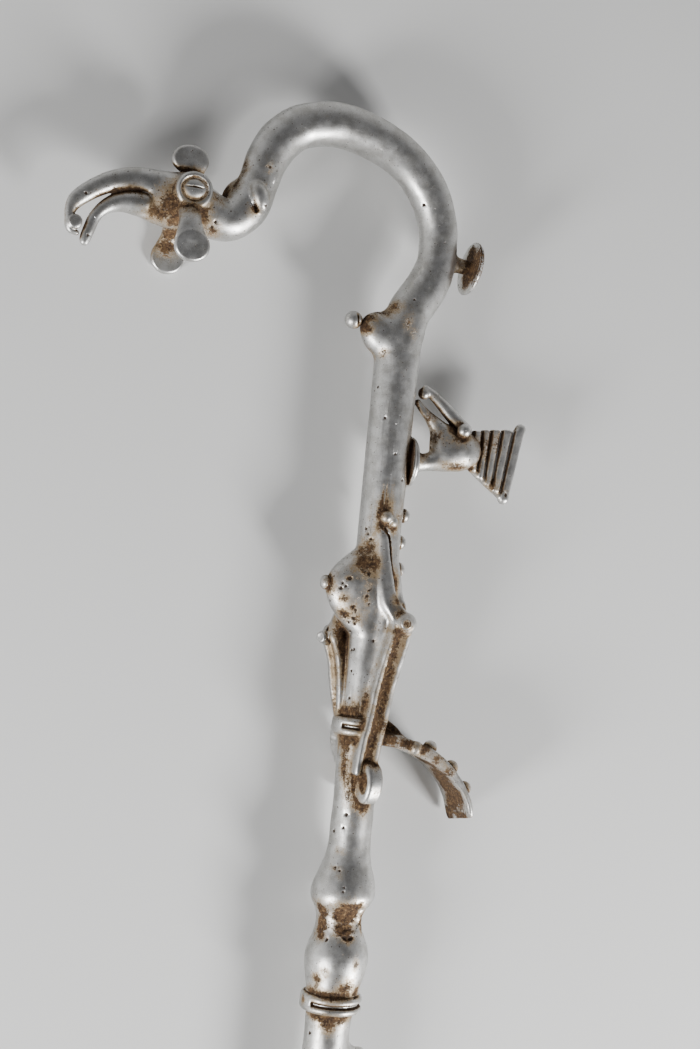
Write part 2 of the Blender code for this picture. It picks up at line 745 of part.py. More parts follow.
def make_fan(add):
    """The small bird's fan tail: ribs side by side on a thin web, the last one with a bead at each end."""
    tops = [bird_point(*place) for place in FAN_TOP]
    feet = [bird_point(*place) for place in FAN_FOOT]
    half = FAN_THICK / 2
    web = []
    for out in (-half * 0.5, half * 0.5):
        corners = (tops[0], tops[1], feet[1], feet[0])
        web.append([corner + Vector((0, 0, out)) for corner in corners])
    helper("fan_web", skin(web), add)
    for i in range(FAN_RIBS):
        share = (i + 0.5) / FAN_RIBS
        top = tops[0].lerp(tops[1], share)
        foot = feet[0].lerp(feet[1], share)
        pitch = (tops[1] - tops[0]).length / FAN_RIBS
        lower_pitch = (feet[1] - feet[0]).length / FAN_RIBS * 0.82
        rib = [
            (top.x, top.y, pitch * 0.43, half),
            (foot.x, foot.y, lower_pitch * 0.47, half * 0.9),
        ]
        helper(f"fan_rib_{i}", flat_tube(rib, TUBE_SIDES, round_end=False), add)
        if i == FAN_RIBS - 1:
            for name, place in (("top", top), ("foot", foot)):
                bead = turned(
                    ball_profile(FAN_BEAD_RADIUS, FAN_BEAD_RADIUS), place,
                    Vector((0, 0, 1)), Vector((1, 0, 0)), TUBE_SIDES,
                )
                helper(f"fan_bead_{name}", bead, add)


def make_band(name, station, add, cut):
    """A band round the shaft, with a groove that stops short at its front."""
    radius = base_radius(station) + BAND_RISE
    half = BAND_HEIGHT / 2
    root = Vector((0, -station, 0))
    up = Vector((0, 1, 0))
    profile = (
        (radius - BAND_LIP * 2.2, -half),
        (radius - BAND_LIP * 0.3, -half * 0.8),
        (radius, -half * 0.5),
        (radius, half * 0.5),
        (radius - BAND_LIP * 0.3, half * 0.8),
        (radius - BAND_LIP * 2.2, half),
    )
    helper(name, turned(profile, root, up, Vector((0, 0, 1)), BAND_SIDES), add)
    rings = []
    steps = 10
    start = BAND_CLOSED_TO
    sweep = 360 - (BAND_CLOSED_TO - BAND_CLOSED_FROM)
    low = BAND_GROOVE / 2
    for i in range(steps + 1):
        azimuth = start + sweep * i / steps
        rings.append([
            on_shaft(station - low, azimuth, radius + 1 * MM),
            on_shaft(station + low, azimuth, radius + 1 * MM),
            on_shaft(station + low * 0.7, azimuth, radius - BAND_LIP * 1.4),
            on_shaft(station - low * 0.7, azimuth, radius - BAND_LIP * 1.4),
        ])
    helper(f"{name}_groove", skin(rings), cut)


def make_knob(name, station, azimuth, add, lift=0.0):
    """A button on the shaft's skin."""
    out = outward(azimuth)
    skin_point = on_shaft(station, azimuth, shaft_radius(station) + lift)
    knob = turned(
        ball_profile(KNOB_RADIUS, KNOB_RISE, 5), skin_point + out * 0.6 * MM, out,
        Vector((0, 1, 0)), KNOB_SIDES,
    )
    helper(name, knob, add)


def make_torso(add):
    """The swollen body with its pointed belly, its navel, and the knobs of spine and shoulders."""
    rings = []
    steps = 8
    for i in range(steps + 1):
        share = -1 + 2 * i / steps
        station = BELLY_STATION + share * BELLY_HALF_HEIGHT
        swell = math.cos(math.pi / 2 * share * 0.97) ** (0.9 if share < 0 else 0.8)
        radius = base_radius(station) * 0.97
        front = radius + BELLY_OUT * swell
        back = radius + BACK_SWELL * swell
        wide = radius + (BELLY_HALF_WIDTH - CHEST_RADIUS) * swell
        ring = []
        for k in range(SHAFT_SIDES):
            turn = 2 * math.pi * k / SHAFT_SIDES
            across = math.sin(turn)
            reach = back if across > 0 else front
            out = wide * math.cos(turn)
            if across < 0:
                out *= 1 - 0.18 * swell * across * across
            ring.append(Vector((reach * across, -station, out)))
        rings.append(ring)
    helper("torso", skin(rings), add)
    front = on_shaft(BELLY_STATION - 1.5 * MM, -90, base_radius(BELLY_STATION) + BELLY_OUT)
    navel = turned(
        ball_profile(KNOB_RADIUS, KNOB_RISE, 5), front + Vector((0.6 * MM, 0, 0)),
        Vector((-1, 0, 0)), Vector((0, 1, 0)), KNOB_SIDES,
    )
    helper("navel", navel, add)
    for i in range(SPINE_KNOBS):
        station = SPINE_STATION + i * SPINE_PITCH
        lift = BACK_SWELL * max(0.0, (i - 1) * 0.4)
        make_knob(f"spine_knob_{i}", station, 90, add, lift=lift)
    make_knob("near_shoulder", SHOULDER_STATION, SHOULDER_AZIMUTH, add)
    make_knob("far_shoulder", SHOULDER_STATION, 180 - SHOULDER_AZIMUTH, add)


def make_limb(name, points, elbow_radius, add):
    """A limb down the shaft, out at the elbow and in again to the hand.

    Each point is (station, azimuth, rise above the shaft, width share, facing azimuth, groove share).
    The limb is a rail: a head with two ridges and a groove, on a narrower web from the shaft.
    """
    knots = [
        (station * MM, azimuth, shaft_radius(station * MM) + rise * MM, width, facing, groove)
        for station, azimuth, rise, width, facing, groove in points
    ]
    path = [on_shaft(station, azimuth, radius) for station, azimuth, radius, *_ in knots]
    rings = []
    for point, tangent, knot in zip(path, tangents_of(path), knots):
        width, facing, groove = knot[3:]
        out = outward(facing)
        along = (tangent - out * tangent.dot(out)).normalized()
        side = along.cross(out) * (width * LIMB_WIDTH / 2)
        height = point.dot(out)
        root = COLUMN_RADIUS * 0.6 - height
        ring = []
        for across, up in LIMB_SECTION:
            floor = 1.0 - groove if abs(across) < 0.4 else up
            ring.append(point + side * across + out * LIMB_RIDGE * floor)
        ring.append(point + side * LIMB_WEB - out * LIMB_HEAD)
        ring.append(point + side * LIMB_WEB + out * root)
        ring.append(point - side * LIMB_WEB + out * root)
        ring.append(point - side * LIMB_WEB - out * LIMB_HEAD)
        rings.append(ring)
    helper(name, skin(rings), add)
    station, azimuth, radius, *_ = max(knots, key=lambda knot: knot[2] - shaft_radius(knot[0]))
    out = outward(azimuth)
    elbow = turned(
        ball_profile(elbow_radius, elbow_radius, 5),
        on_shaft(station, azimuth, radius), out, Vector((0, 1, 0)), KNOB_SIDES,
    )
    helper(f"{name}_elbow", elbow, add)


def make_hand(name, azimuth, outer, add, cut):
    """A hand: the limb's end rolled up like a scroll, hollow at its ends."""
    out = outward(azimuth)
    side = Vector((0, -1, 0)).cross(out)
    inner = shaft_radius(HAND_STATION) * 0.8
    middle = on_shaft(HAND_STATION, azimuth, (inner + outer) / 2)
    half = (outer - inner) / 2
    edge = HAND_WIDTH / 2
    floor = edge - HAND_HOLLOW
    deep = half - HAND_WALL * 0.75
    tall = HAND_HALF_HEIGHT - HAND_WALL * 1.35
    parts = (
        ("roll", add, half, HAND_HALF_HEIGHT, (-edge, edge)),
        ("hollow_left", cut, deep, tall, (-edge - 1 * MM, -floor)),
        ("hollow_right", cut, deep, tall, (floor, edge + 1 * MM)),
    )
    for part, group, reach, height, ends in parts:
        rings = [
            oval_ring(middle + side * place, out * reach, Vector((0, height, 0)), HEAD_SIDES)
            for place in ends
        ]
        helper(f"{name}_{part}", skin(rings), group)


def make_strap(add):
    """The studded strap tail that arches out and down behind the waist."""
    curve = [(x * MM, -y * MM, thick * MM) for x, y, thick in STRAP_POINTS]
    path = [Vector((x, y, 0)) for x, y, _ in curve]
    tangents = tangents_of(path)
    last = len(path) - 1
    rings = []
    for i, (point, tangent, (_, _, thick)) in enumerate(zip(path, tangents, curve)):
        share = i / last
        up = Vector((-tangent.y, tangent.x, 0))
        half = STRAP_WIDTH / 2 * min(1.0, 0.7 + share)
        skew = tangent * (STRAP_SKEW / 2 * share)
        across = Vector((0, 0, half)) - skew
        lift = up * thick / 2
        rings.append([
            point - across * 0.98 + lift * 0.5,
            point - across * 0.9 + lift,
            point + across * 0.9 + lift,
            point + across * 0.98 + lift * 0.5,
            point + across * 0.98 - lift * 0.5,
            point + across * 0.9 - lift,
            point - across * 0.9 - lift,
            point - across * 0.98 - lift * 0.5,
        ])
    helper("strap", skin(rings), add)
    prong = [
        (shaft_radius(STRAP_PRONG_STATION) * 0.6, -STRAP_PRONG_STATION, 3.0 * MM, 9.0 * MM),
        (path[1].x * 0.9, (path[1].y - STRAP_PRONG_STATION) / 2, 2.2 * MM, 8.6 * MM),
        (path[1].x * 1.25, path[1].y - 1 * MM, 2.2 * MM, 9.0 * MM),
    ]
    helper("strap_prong", flat_tube(smooth_points(prong, 2), 8), add)
    for i, share in enumerate(STUD_SHARES):
        place = round(share * last)
        up = Vector((-tangents[place].y, tangents[place].x, 0))
        if up.x < 0:
            up = -up
        out = Vector((0, 0, STRAP_WIDTH * 0.3))
        stud = turned(
            ball_profile(STUD_RADIUS, STUD_RISE),
            path[place] + up * curve[place][2] / 2 + out, up, Vector((0, 0, 1)), KNOB_SIDES,
        )
        helper(f"strap_stud_{i}", stud, add)


def make_low_stud(add):
    """A short spur with a blunt bead at the back of the grip, below the collar."""
    root = Vector((0, -LOW_STUD_STATION, 0))
    neck = LOW_STUD_RADIUS * 0.9
    profile = (
        (LOW_STUD_ROOT_RADIUS, GRIP_RADIUS * 0.7),
        ((LOW_STUD_ROOT_RADIUS + neck) / 2, GRIP_RADIUS * 1.1),
        (neck, LOW_STUD_OUT - LOW_STUD_RADIUS * 1.3),
        (LOW_STUD_RADIUS, LOW_STUD_OUT - LOW_STUD_RADIUS * 0.9),
        (LOW_STUD_RADIUS * 0.8, LOW_STUD_OUT - LOW_STUD_RADIUS * 0.3),
        (LOW_STUD_RADIUS * 0.3, LOW_STUD_OUT),
    )
    helper("low_stud", turned(profile, root, Vector((1, 0, 0)), Vector((0, 0, 1)), KNOB_SIDES), add)


def make_plain_ring(add):
    """A single plain ring on the lower part of the shaft."""
    radius = base_radius(PLAIN_RING_STATION)
    rise = PLAIN_RING_RISE
    profile = (
        (radius - 1 * MM, -rise * 1.2),
        (radius + rise * 0.7, -rise * 0.8),
        (radius + rise, 0),
        (radius + rise * 0.7, rise * 0.8),
        (radius - 1 * MM, rise * 1.2),
    )
    root = Vector((0, -PLAIN_RING_STATION, 0))
    helper("plain_ring", turned(profile, root, Vector((0, 1, 0)), Vector((0, 0, 1)), BAND_SIDES), add)


def rest_line():
    """How far the floor lies from the axis, as its distance at Y = 0 and its slope along Y.

    It touches the far wattle's outer face and the foot knob.
    """
    wattle_y = head_point(*FAR_WATTLE_PLACE).y - WATTLE_RADIUS * 0.85
    wattle = WATTLE_SPREAD + WATTLE_THICK / 2
    foot_station = SHAFT_LENGTH - FOOT_KNOB_ABOVE_END
    foot = shaft_radius(foot_station)
    slope = (wattle - foot) / (wattle_y + foot_station)
    return wattle - slope * wattle_y, slope


def make_floor_cut(cut):
    """What the floor takes off, so that the staff lies on small flat spots."""
    level, slope = rest_line()
    ends = (CROOK_HEIGHT * 1.5, -SHAFT_LENGTH - 50 * MM)
    wide = CROOK_HEIGHT * 2.5
    depth = 60 * MM
    rings = []
    for y in ends:
        top = -(level + slope * y) + REST_FLAT
        rings.append([
            Vector((-wide, y, top)),
            Vector((wide, y, top)),
            Vector((wide, y, top - depth)),
            Vector((-wide, y, top - depth)),
        ])
    helper("floor_cut", skin(rings), cut)


def boolean(staff, name, operation, collection):
    """A Boolean of the staff with every object of a collection."""
    modifier = staff.modifiers.new(name, "BOOLEAN")
    modifier.operation = operation
    modifier.operand_type = "COLLECTION"
    modifier.collection = collection
    modifier.solver = "EXACT"
    modifier.use_self = True


def metal():
    """Silver-coloured cast metal."""
    material = bpy.data.materials.new("cast_metal")
    material.use_nodes = True
    shader = material.node_tree.nodes["Principled BSDF"]
    shader.inputs["Base Color"].default_value = METAL_COLOUR
    shader.inputs["Metallic"].default_value = 1.0
    shader.inputs["Roughness"].default_value = 0.32
    return material


def clear_scene():
    for obj in list(bpy.data.objects):
        bpy.data.objects.remove(obj, do_unlink=True)


def operand_collection(name):
    collection = bpy.data.collections.new(name)
    bpy.context.scene.collection.children.link(collection)
    return collection


def lay_down(staff, add, cut):
    """An empty that lays the staff on the floor, with the origin below the middle of its box."""
    level, slope = rest_line()
    rest = bpy.data.objects.new("rest", None)
    bpy.context.scene.collection.objects.link(rest)
    for obj in [staff, *add.objects, *cut.objects]:
        obj.parent = rest
    rest.rotation_euler = (math.atan(slope), 0, 0)
    bpy.context.view_layer.update()
    graph = bpy.context.evaluated_depsgraph_get()
    evaluated = staff.evaluated_get(graph)
    corners = [evaluated.matrix_world @ vertex.co for vertex in evaluated.data.vertices]
    for k in range(2):
        low = min(corner[k] for corner in corners)
        high = max(corner[k] for corner in corners)
        rest.location[k] = -(low + high) / 2
    rest.location[2] = -min(corner.z for corner in corners)


def main():
    clear_scene()
    add = operand_collection("joined_forms")
    cut = operand_collection("cut_forms")
    staff = make_body()
    bpy.context.scene.collection.objects.link(staff)
    staff.data.materials.append(metal())
    make_head(add)
    for side in (1, -1):
        make_eye(side, add, cut)
        make_wattle(side, add)
    make_comb(add)
    make_tufts(add)
    make_spur(add, cut)
    make_neck_disc(add)
    make_bird(add)
    make_fan(add)
    make_torso(add)
    make_band("waist_band", WAIST_STATION, add, cut)
    make_band("collar_band", COLLAR_STATION, add, cut)
    level, slope = rest_line()
    far_reach = (level - slope * HAND_STATION) / math.cos(math.radians(180 - FAR_HAND_AZIMUTH))
    make_limb("near_limb", NEAR_LIMB, NEAR_ELBOW_RADIUS, add)
    make_limb("far_limb", FAR_LIMB, FAR_ELBOW_RADIUS, add)
    make_hand("near_hand", NEAR_HAND_AZIMUTH, HAND_OUT, add, cut)
    make_hand("far_hand", FAR_HAND_AZIMUTH, far_reach, add, cut)
    make_strap(add)
    make_low_stud(add)
    make_plain_ring(add)
    make_floor_cut(cut)
    boolean(staff, "join", "UNION", add)
    boolean(staff, "cut", "DIFFERENCE", cut)
    lay_down(staff, add, cut)


main()
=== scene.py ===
# %% [markdown]
# # A cast ceremonial staff, lying on the floor
#
# The staff is one silver-coloured casting, made over a wax model that was lost in the fire. Its crook
# is the long neck of a bird, and a small bird, two folded limbs and a studded strap tail sit on the
# shaft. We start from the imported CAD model, which gives the place and the size of the whole staff.

import math

import bpy
import numpy as np
from mathutils import Matrix, Vector


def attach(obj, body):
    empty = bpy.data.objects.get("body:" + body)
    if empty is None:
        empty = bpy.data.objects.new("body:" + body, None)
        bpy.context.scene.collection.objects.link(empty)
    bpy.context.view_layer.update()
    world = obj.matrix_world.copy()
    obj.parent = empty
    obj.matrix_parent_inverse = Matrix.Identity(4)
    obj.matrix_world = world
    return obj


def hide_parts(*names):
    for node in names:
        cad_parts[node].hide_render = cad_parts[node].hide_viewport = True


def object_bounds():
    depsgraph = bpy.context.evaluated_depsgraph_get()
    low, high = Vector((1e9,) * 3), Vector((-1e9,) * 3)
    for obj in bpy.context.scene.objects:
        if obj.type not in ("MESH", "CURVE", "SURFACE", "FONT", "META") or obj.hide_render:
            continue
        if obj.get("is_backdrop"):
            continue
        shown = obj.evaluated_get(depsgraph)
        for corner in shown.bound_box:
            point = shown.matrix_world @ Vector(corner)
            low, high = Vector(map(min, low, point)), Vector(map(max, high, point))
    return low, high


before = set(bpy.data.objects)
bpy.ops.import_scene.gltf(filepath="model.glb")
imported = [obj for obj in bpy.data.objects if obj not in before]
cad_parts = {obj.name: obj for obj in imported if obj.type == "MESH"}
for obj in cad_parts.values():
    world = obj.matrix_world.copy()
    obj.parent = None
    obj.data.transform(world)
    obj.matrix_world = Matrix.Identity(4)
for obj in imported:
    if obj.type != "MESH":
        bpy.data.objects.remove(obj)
cad_box = [[float(value) for value in corner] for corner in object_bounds()]
print("CAD box in metres:", cad_box)

# %% [markdown]
# On the real staff every join flows, because the maker pressed soft wax rolls and pellets together.
# One way to get that is to join meshes with Booleans and bevel every corner, but bevels break where
# many forms meet. Here we keep the wax as a distance field instead. It is a box of numbers, one at
# each grid point, that says how far the point is from the skin, below zero inside the wax. Two forms
# then melt together with one line of arithmetic. All of it is in millimetres in the staff's own
# frame: Y runs up the shaft to the crook, -X is the front, where the bird looks, and +Z is the near
# side. Y is 0 where the neck leaves the shaft.

# %% A box of wax
STEP = 0.55
# The distance that stands for "no wax near", and how far round a form the grid is worked
FAR_AWAY = 60.0
ROOM = 6.5


def spaced(stretches):
    """Grid lines along one axis. Each stretch is (from, to, pitch)."""
    lines = [stretches[0][0]]
    for low, high, pitch in stretches:
        count = max(1, round((high - low) / pitch))
        lines += [low + (high - low) * (i + 1) / count for i in range(count)]
    return np.array(lines, np.float32)


# The crook's upper side and the beak's tip have small forms, so the grid is finer there
FINE = STEP * 0.7
GRID = (
    spaced([(-176.0, -128.0, STEP), (-128.0, -104.0, FINE), (-104.0, 78.0, STEP)]),
    spaced([
        (-978.0, -940.0, 1.2), (-940.0, -650.0, 4.0), (-650.0, -630.0, 0.9), (-630.0, -370.0, 4.0),
        (-370.0, 54.0, STEP), (54.0, 78.0, FINE), (78.0, 128.0, STEP),
    ]),
    spaced([(-24.8, 24.8, STEP)]),
)
wax = np.full([len(lines) for lines in GRID], FAR_AWAY, np.float32)
print("grid points:", wax.shape, "or", round(wax.size / 1e6, 1), "million")

# %% [markdown]
# A form only changes the wax near it, so each tool works in a window of the grid. To melt is to take
# the smaller of two distances, rounded where they are nearly equal, which fills the corner between
# two forms as a warm thumb does. To carve is the same with the form turned inside out.

# %% Melt and carve


def window(low, high, room=ROOM, grid=GRID):
    """The part of the grid round a box: its slices, and its three coordinate lines."""
    cuts = []
    lines = []
    for k in range(3):
        line = grid[k].reshape(-1)
        first = int(np.searchsorted(line, low[k] - room))
        last = int(np.searchsorted(line, high[k] + room))
        cuts.append(slice(first, last))
        lines.append(line[first:last].reshape([-1 if axis == k else 1 for axis in range(3)]))
    return tuple(cuts), lines


def soft_least(first, second, width):
    """The smaller of two distances, with the change between them rounded over a width."""
    blend = np.clip(0.5 + 0.5 * (first - second) / width, 0.0, 1.0)
    return first + (second - first) * blend - width * blend * (1.0 - blend)


def melt(where, gap, fillet):
    """Joins a form to the wax, with a fillet of about that size."""
    wax[where] = soft_least(wax[where], gap, fillet)


def carve(where, gap, edge):
    """Takes a form away from the wax, and rounds the edge that it leaves."""
    wax[where] = -soft_least(-wax[where], gap, edge)


print("1 mm off two forms, melted over 0.6 mm:", soft_least(1.0, 1.0, 0.6), "mm off the skin")

# %% [markdown]
# Each form is measured from its own centre, in its own directions. An oval or a box then has a short
# formula for how far a point is from its skin, and so has the place where two forms overlap.

# %% Measure a form
UP = np.array((0.0, 1.0, 0.0))
TO_BACK = np.array((1.0, 0.0, 0.0))
TO_NEAR = np.array((0.0, 0.0, 1.0))
STAFF_AXES = np.eye(3)


def unit(vector):
    return np.array(vector, float) / np.linalg.norm(vector)


def offsets(lines, centre):
    """Coordinates from a centre, one array for each of X, Y and Z."""
    return [lines[k] - np.float32(centre[k]) for k in range(3)]


def along(parts, direction):
    """How far each point lies along a direction."""
    return sum(part * np.float32(value) for part, value in zip(parts, direction))


def oval_gap(parts, halves):
    """Distance to an oval: `parts` are coordinates along its axes, `halves` its half sizes."""
    share = np.sqrt(sum((part / half) ** 2 for part, half in zip(parts, halves)))
    slope = sum((part / (half * half)) ** 2 for part, half in zip(parts, halves))
    return share * (share - 1.0) / np.sqrt(np.maximum(slope, 1e-9))


def box_gap(parts, halves, corner):
    """Distance to a box with rounded corners."""
    beyond = [np.abs(part) - (half - corner) for part, half in zip(parts, halves)]
    inside = beyond[0]
    for part in beyond[1:]:
        inside = np.maximum(inside, part)
    outside = np.sqrt(sum(np.maximum(part, 0.0) ** 2 for part in beyond))
    return outside + np.minimum(inside, 0.0) - corner


def shared_gap(first, second, edge):
    """Distance to what two forms share, with a rounded edge where their skins meet."""
    first = first + edge
    second = second + edge
    outside = np.hypot(np.maximum(first, 0.0), np.maximum(second, 0.0))
    return outside + np.minimum(np.maximum(first, second), 0.0) - edge


print("5 mm from the middle of a 2 mm ball:", round(float(oval_gap([5.0], [2.0])), 2), "mm off its skin")

# %% [markdown]
# Most forms of the staff are wax rolls: the neck, the beaks, the limbs and the strap. A roll is a
# row of points with a half height and a half width, and a direction for its width. We smooth the
# row first, then measure every grid point near each short piece of it.

# %% Wax rolls


def smooth(rows, steps=6):
    """A smooth curve through rows of numbers, with `steps` pieces between two of them."""
    rows = np.array(rows, float)
    padded = np.vstack([rows[:1], rows, rows[-1:]])
    curve = []
    for i in range(1, len(padded) - 2):
        before, start, end, after = padded[i - 1:i + 3]
        for t in np.arange(steps) / steps:
            curve.append(0.5 * (
                2 * start + (end - before) * t + (2 * before - 5 * start + 4 * end - after) * t * t
                + (3 * start - before - 3 * end + after) * t ** 3
            ))
    curve.append(rows[-1])
    return np.array(curve)


def roll(rows, fillet, corner=None, action=melt):
    """A roll through rows of (x, y, z, half height, half width, and the width's direction).

    A row without a direction is wide to the near side. With `corner` the roll is a flat bar.
    """
    rows = np.array([[*row, *TO_NEAR][:8] for row in rows], float)
    reach = rows[:, 3:5].max()
    where, lines = window(rows[:, :3].min(0) - reach, rows[:, :3].max(0) + reach)
    gap = np.full(wax[where].shape, FAR_AWAY, np.float32)
    for one, two in zip(rows, rows[1:]):
        ahead = two[:3] - one[:3]
        side = unit(one[5:8] + two[5:8])
        up = unit(np.cross(ahead, side))
        size = max(one[3:5].max(), two[3:5].max()) + ROOM
        cuts, near_lines = window(np.minimum(one, two), np.maximum(one, two), size, lines)
        parts = offsets(near_lines, one)
        into = np.linalg.inv(np.stack([ahead, side, up], axis=1))
        share, across, above = (along(parts, direction) for direction in into)
        part = np.clip(share, 0.0, 1.0)
        past = (share - part) * np.linalg.norm(ahead)
        tall = one[3] + (two[3] - one[3]) * part
        wide = one[4] + (two[4] - one[4]) * part
        if corner is None:
            found = oval_gap((above, across, past), (tall, wide, np.minimum(tall, wide)))
        else:
            found = box_gap((above, across, past), (tall, wide, corner), corner)
        near = gap[cuts]
        np.minimum(near, found, out=near)
    action(where, gap, fillet)


print("rows from 2 points:", len(smooth([(0, 0), (1, 1)])))

# %% [markdown]
# The rest are pellets, slits, rings and discs. A disc may be a cone, and each of its faces may bulge
# or be dished. Each tool only opens the window that its form needs.

# %% Pellets, slits and rings
SLIT_EDGE = 0.3


def around(centre, reach):
    """The window round a place, and the coordinates of its points from there."""
    centre = np.array(centre)
    where, lines = window(centre - reach, centre + reach)
    return where, offsets(lines, centre)


def round_axis(parts, axis):
    """How high each point is along an axis, and the square of its distance from the axis."""
    height = along(parts, axis)
    return height, np.maximum(sum(part * part for part in parts) - height * height, 0.0)


def pellet(centre, axes, halves, fillet, action=melt):
    """An oval pellet with three half sizes along three directions."""
    where, parts = around(centre, max(halves))
    action(where, oval_gap([along(parts, axis) for axis in axes], halves), fillet)


def ball(centre, radius, fillet):
    """A round pellet."""
    pellet(centre, STAFF_AXES, (radius, radius, radius), fillet)


def slit(centre, axes, halves):
    """Carves out a small block with rounded corners, along three directions."""
    where, parts = around(centre, max(halves))
    carve(where, box_gap([along(parts, axis) for axis in axes], halves, SLIT_EDGE), SLIT_EDGE)


def ring(centre, axis, radius, halves, fillet):
    """A ring round an axis, with the half sizes of its section: outwards, and along the axis."""
    where, parts = around(centre, radius + max(halves))
    height, out_squared = round_axis(parts, axis)
    melt(where, oval_gap((np.sqrt(out_squared) - radius, height), halves), fillet)


print("points in the window of a 5 mm pellet:", wax[around((0, 0, 0), 5)[0]].size)

# %% [markdown]
# A disc is what its length and its girth share, with the rim rounded off. Paddles are discs that
# lie flat to the near side, like the comb and the wattles.

# %% Discs and paddles


def disc(centre, axis, radii, ends, edge, fillet, domes=(0.0, 0.0), action=melt, flat=1.0):
    """A disc or a cone: its radius at its low and high end, and where they are along its axis.

    `domes` says how far each end bulges, and `flat` how many times shorter the disc is along Y.
    """
    where, parts = around(centre, max(*radii, abs(ends[0]), abs(ends[1])) + max(0.0, *domes))
    height, out_squared = round_axis(parts, axis)
    out = np.sqrt(out_squared + parts[1] ** 2 * (flat ** 2 - 1.0))
    share = np.clip((height - ends[0]) / (ends[1] - ends[0]), 0.0, 1.0)
    radius = radii[0] + (radii[1] - radii[0]) * share
    crown = np.clip(1.0 - (out / radius) ** 2, 0.0, 1.0)
    beyond = np.maximum(height - ends[1] - domes[1] * crown, ends[0] - domes[0] * crown - height)
    action(where, shared_gap(beyond, out - radius, edge), fillet)


def paddle(centre, radius, half_thickness, edge, fillet, dome, flat=1.0):
    """A disc that faces the near side and is alike on both faces."""
    ends = (-half_thickness, half_thickness)
    disc(centre, TO_NEAR, (radius, radius), ends, edge, fillet, (dome, dome), flat=flat)


print("tools for discs ready, wax still empty:", bool((wax > 0).all()))

# %% [markdown]
# ## The shaft
# The shaft is a thin turned form that swells at the chest and in two bulbs above the collar. It isn't
# quite straight: the drift says how far its middle wanders to the back, as in a staff made by hand.
# The lower part isn't in the photograph, so it stays a plain rod with one ring and a foot knob.

# %% The shaft's outline
SHAFT_LENGTH = 975.0
FOOT_EDGE = 1.6
PLAIN_RING = 640.0
GRIP = 330.0
# Rows of station and radius, and below them rows of station and drift
RADIUS_AT = (
    (0, 11.3), (60, 11), (110, 10.6), (160, 10.2), (200, 10.35), (232, 10.55), (247, 11), (253.3, 12.2),
    (259.7, 14.5), (264.5, 15.8), (269.3, 16.1), (272.6, 15.1), (276.1, 13), (281, 11.8), (285, 12),
    (290, 13.2), (293.8, 14.7), (298, 15.8), (302.5, 16), (307.6, 15.2), (312.6, 14.1), (316.5, 13.2),
    (321, 12.3), (327, 11.8), (360, 11.7), (640, 10.7), (935, 9.65), (949, 9.6), (955.5, 11.3),
    (962, 13), (968.5, 11.3), (975, 9.5),
)
DRIFT_AT = (
    (-2, 0.2), (0, 0.2), (20, 0.3), (90, 0.3), (184.3, 0.2), (205, 1), (220, 1.6), (245, 1.6),
    (261, 1.3), (276, 0.1), (292, 0.9), (310, 0.7), (330, 0),
)


def shaft_radius(station):
    """The shaft's radius, on a smooth curve through the rows of RADIUS_AT."""
    stations, radii = np.array(RADIUS_AT).T
    slopes = np.gradient(radii, stations)
    i = np.clip(np.searchsorted(stations, station) - 1, 0, len(stations) - 2)
    width = stations[i + 1] - stations[i]
    t = np.clip((station - stations[i]) / width, 0.0, 1.0)
    ends = (1 + 2 * t) * (1 - t) ** 2 * radii[i] + t * t * (3 - 2 * t) * radii[i + 1]
    bends = t * (1 - t) ** 2 * slopes[i] - t * t * (1 - t) * slopes[i + 1]
    return ends + width * bends


def drift_at(y):
    """How far the shaft's middle stands to the back."""
    return np.interp(-y, *zip(*DRIFT_AT)).astype(np.float32)


shaft_window, (x, y, z) = window((-18, -SHAFT_LENGTH, -18), (20, 0, 18))
radius = shaft_radius(-y).astype(np.float32)
slope = np.gradient(radius.reshape(-1), y.reshape(-1)).reshape(radius.shape)
skin = (np.hypot(x - drift_at(y), z) - radius) / np.sqrt(1.0 + slope * slope)
skin = -soft_least(-skin, SHAFT_LENGTH + y, FOOT_EDGE)
melt(shaft_window, np.maximum(skin, y - 2.0), 0.3)
ring((0, -PLAIN_RING, 0), UP, float(shaft_radius(PLAIN_RING)) + 0.2, (3.0, 3.3), 1.2)
print("shaft radius at the grip:", round(float(shaft_radius(GRIP)), 2), "mm")

# %% [markdown]
# Between the two bulbs the skin has shallow worn hollows with a clear edge. To press one in, we add a
# little to the distance inside an uneven outline, so the skin sinks there and keeps its form.

# %% Hollows at the waist of the bulbs
# Each hollow: its station and azimuth, and its half height and half sweep
HOLLOWS = (
    (278.5, 4, 8, 36), (281, -82, 9.5, 27), (280, 72, 8.5, 22), (280, 170, 8, 45),
)
HOLLOW_DEPTH = 0.55
HOLLOW_EDGE = 7.0


def degrees_from(middle, x, z):
    """How many degrees each point is round the staff from an azimuth, from 0 to 180."""
    return np.abs((np.degrees(np.arctan2(x, z)) - middle + 180.0) % 360.0 - 180.0)


hollow_window, (x, y, z) = window((-17, -294, -17), (19, -266, 17), 0.0)
ragged = 0.10 * np.sin(y * 1.7 + 0.4 * x) + 0.08 * np.sin(x * 1.3 - y * 0.9 + z)
for station, azimuth, half_height, half_sweep in HOLLOWS:
    turned = degrees_from(azimuth, x - drift_at(y), z) / half_sweep
    risen = np.abs(-y - station) / half_height
    inside = 1.0 + ragged - (turned ** 3 + risen ** 3) ** (1 / 3)
    pressed = np.clip(inside * HOLLOW_EDGE, 0.0, 1.0).astype(np.float32)
    wax[hollow_window] += np.float32(HOLLOW_DEPTH) * pressed
print("hollows pressed in:", len(HOLLOWS))

# %% [markdown]
# ## The crook
# The neck leaves the shaft, bows back and comes over to the front in one thick roll. Its centreline
# was read off the outline, as hundredths of the crook's height, with its thickness beside each point.

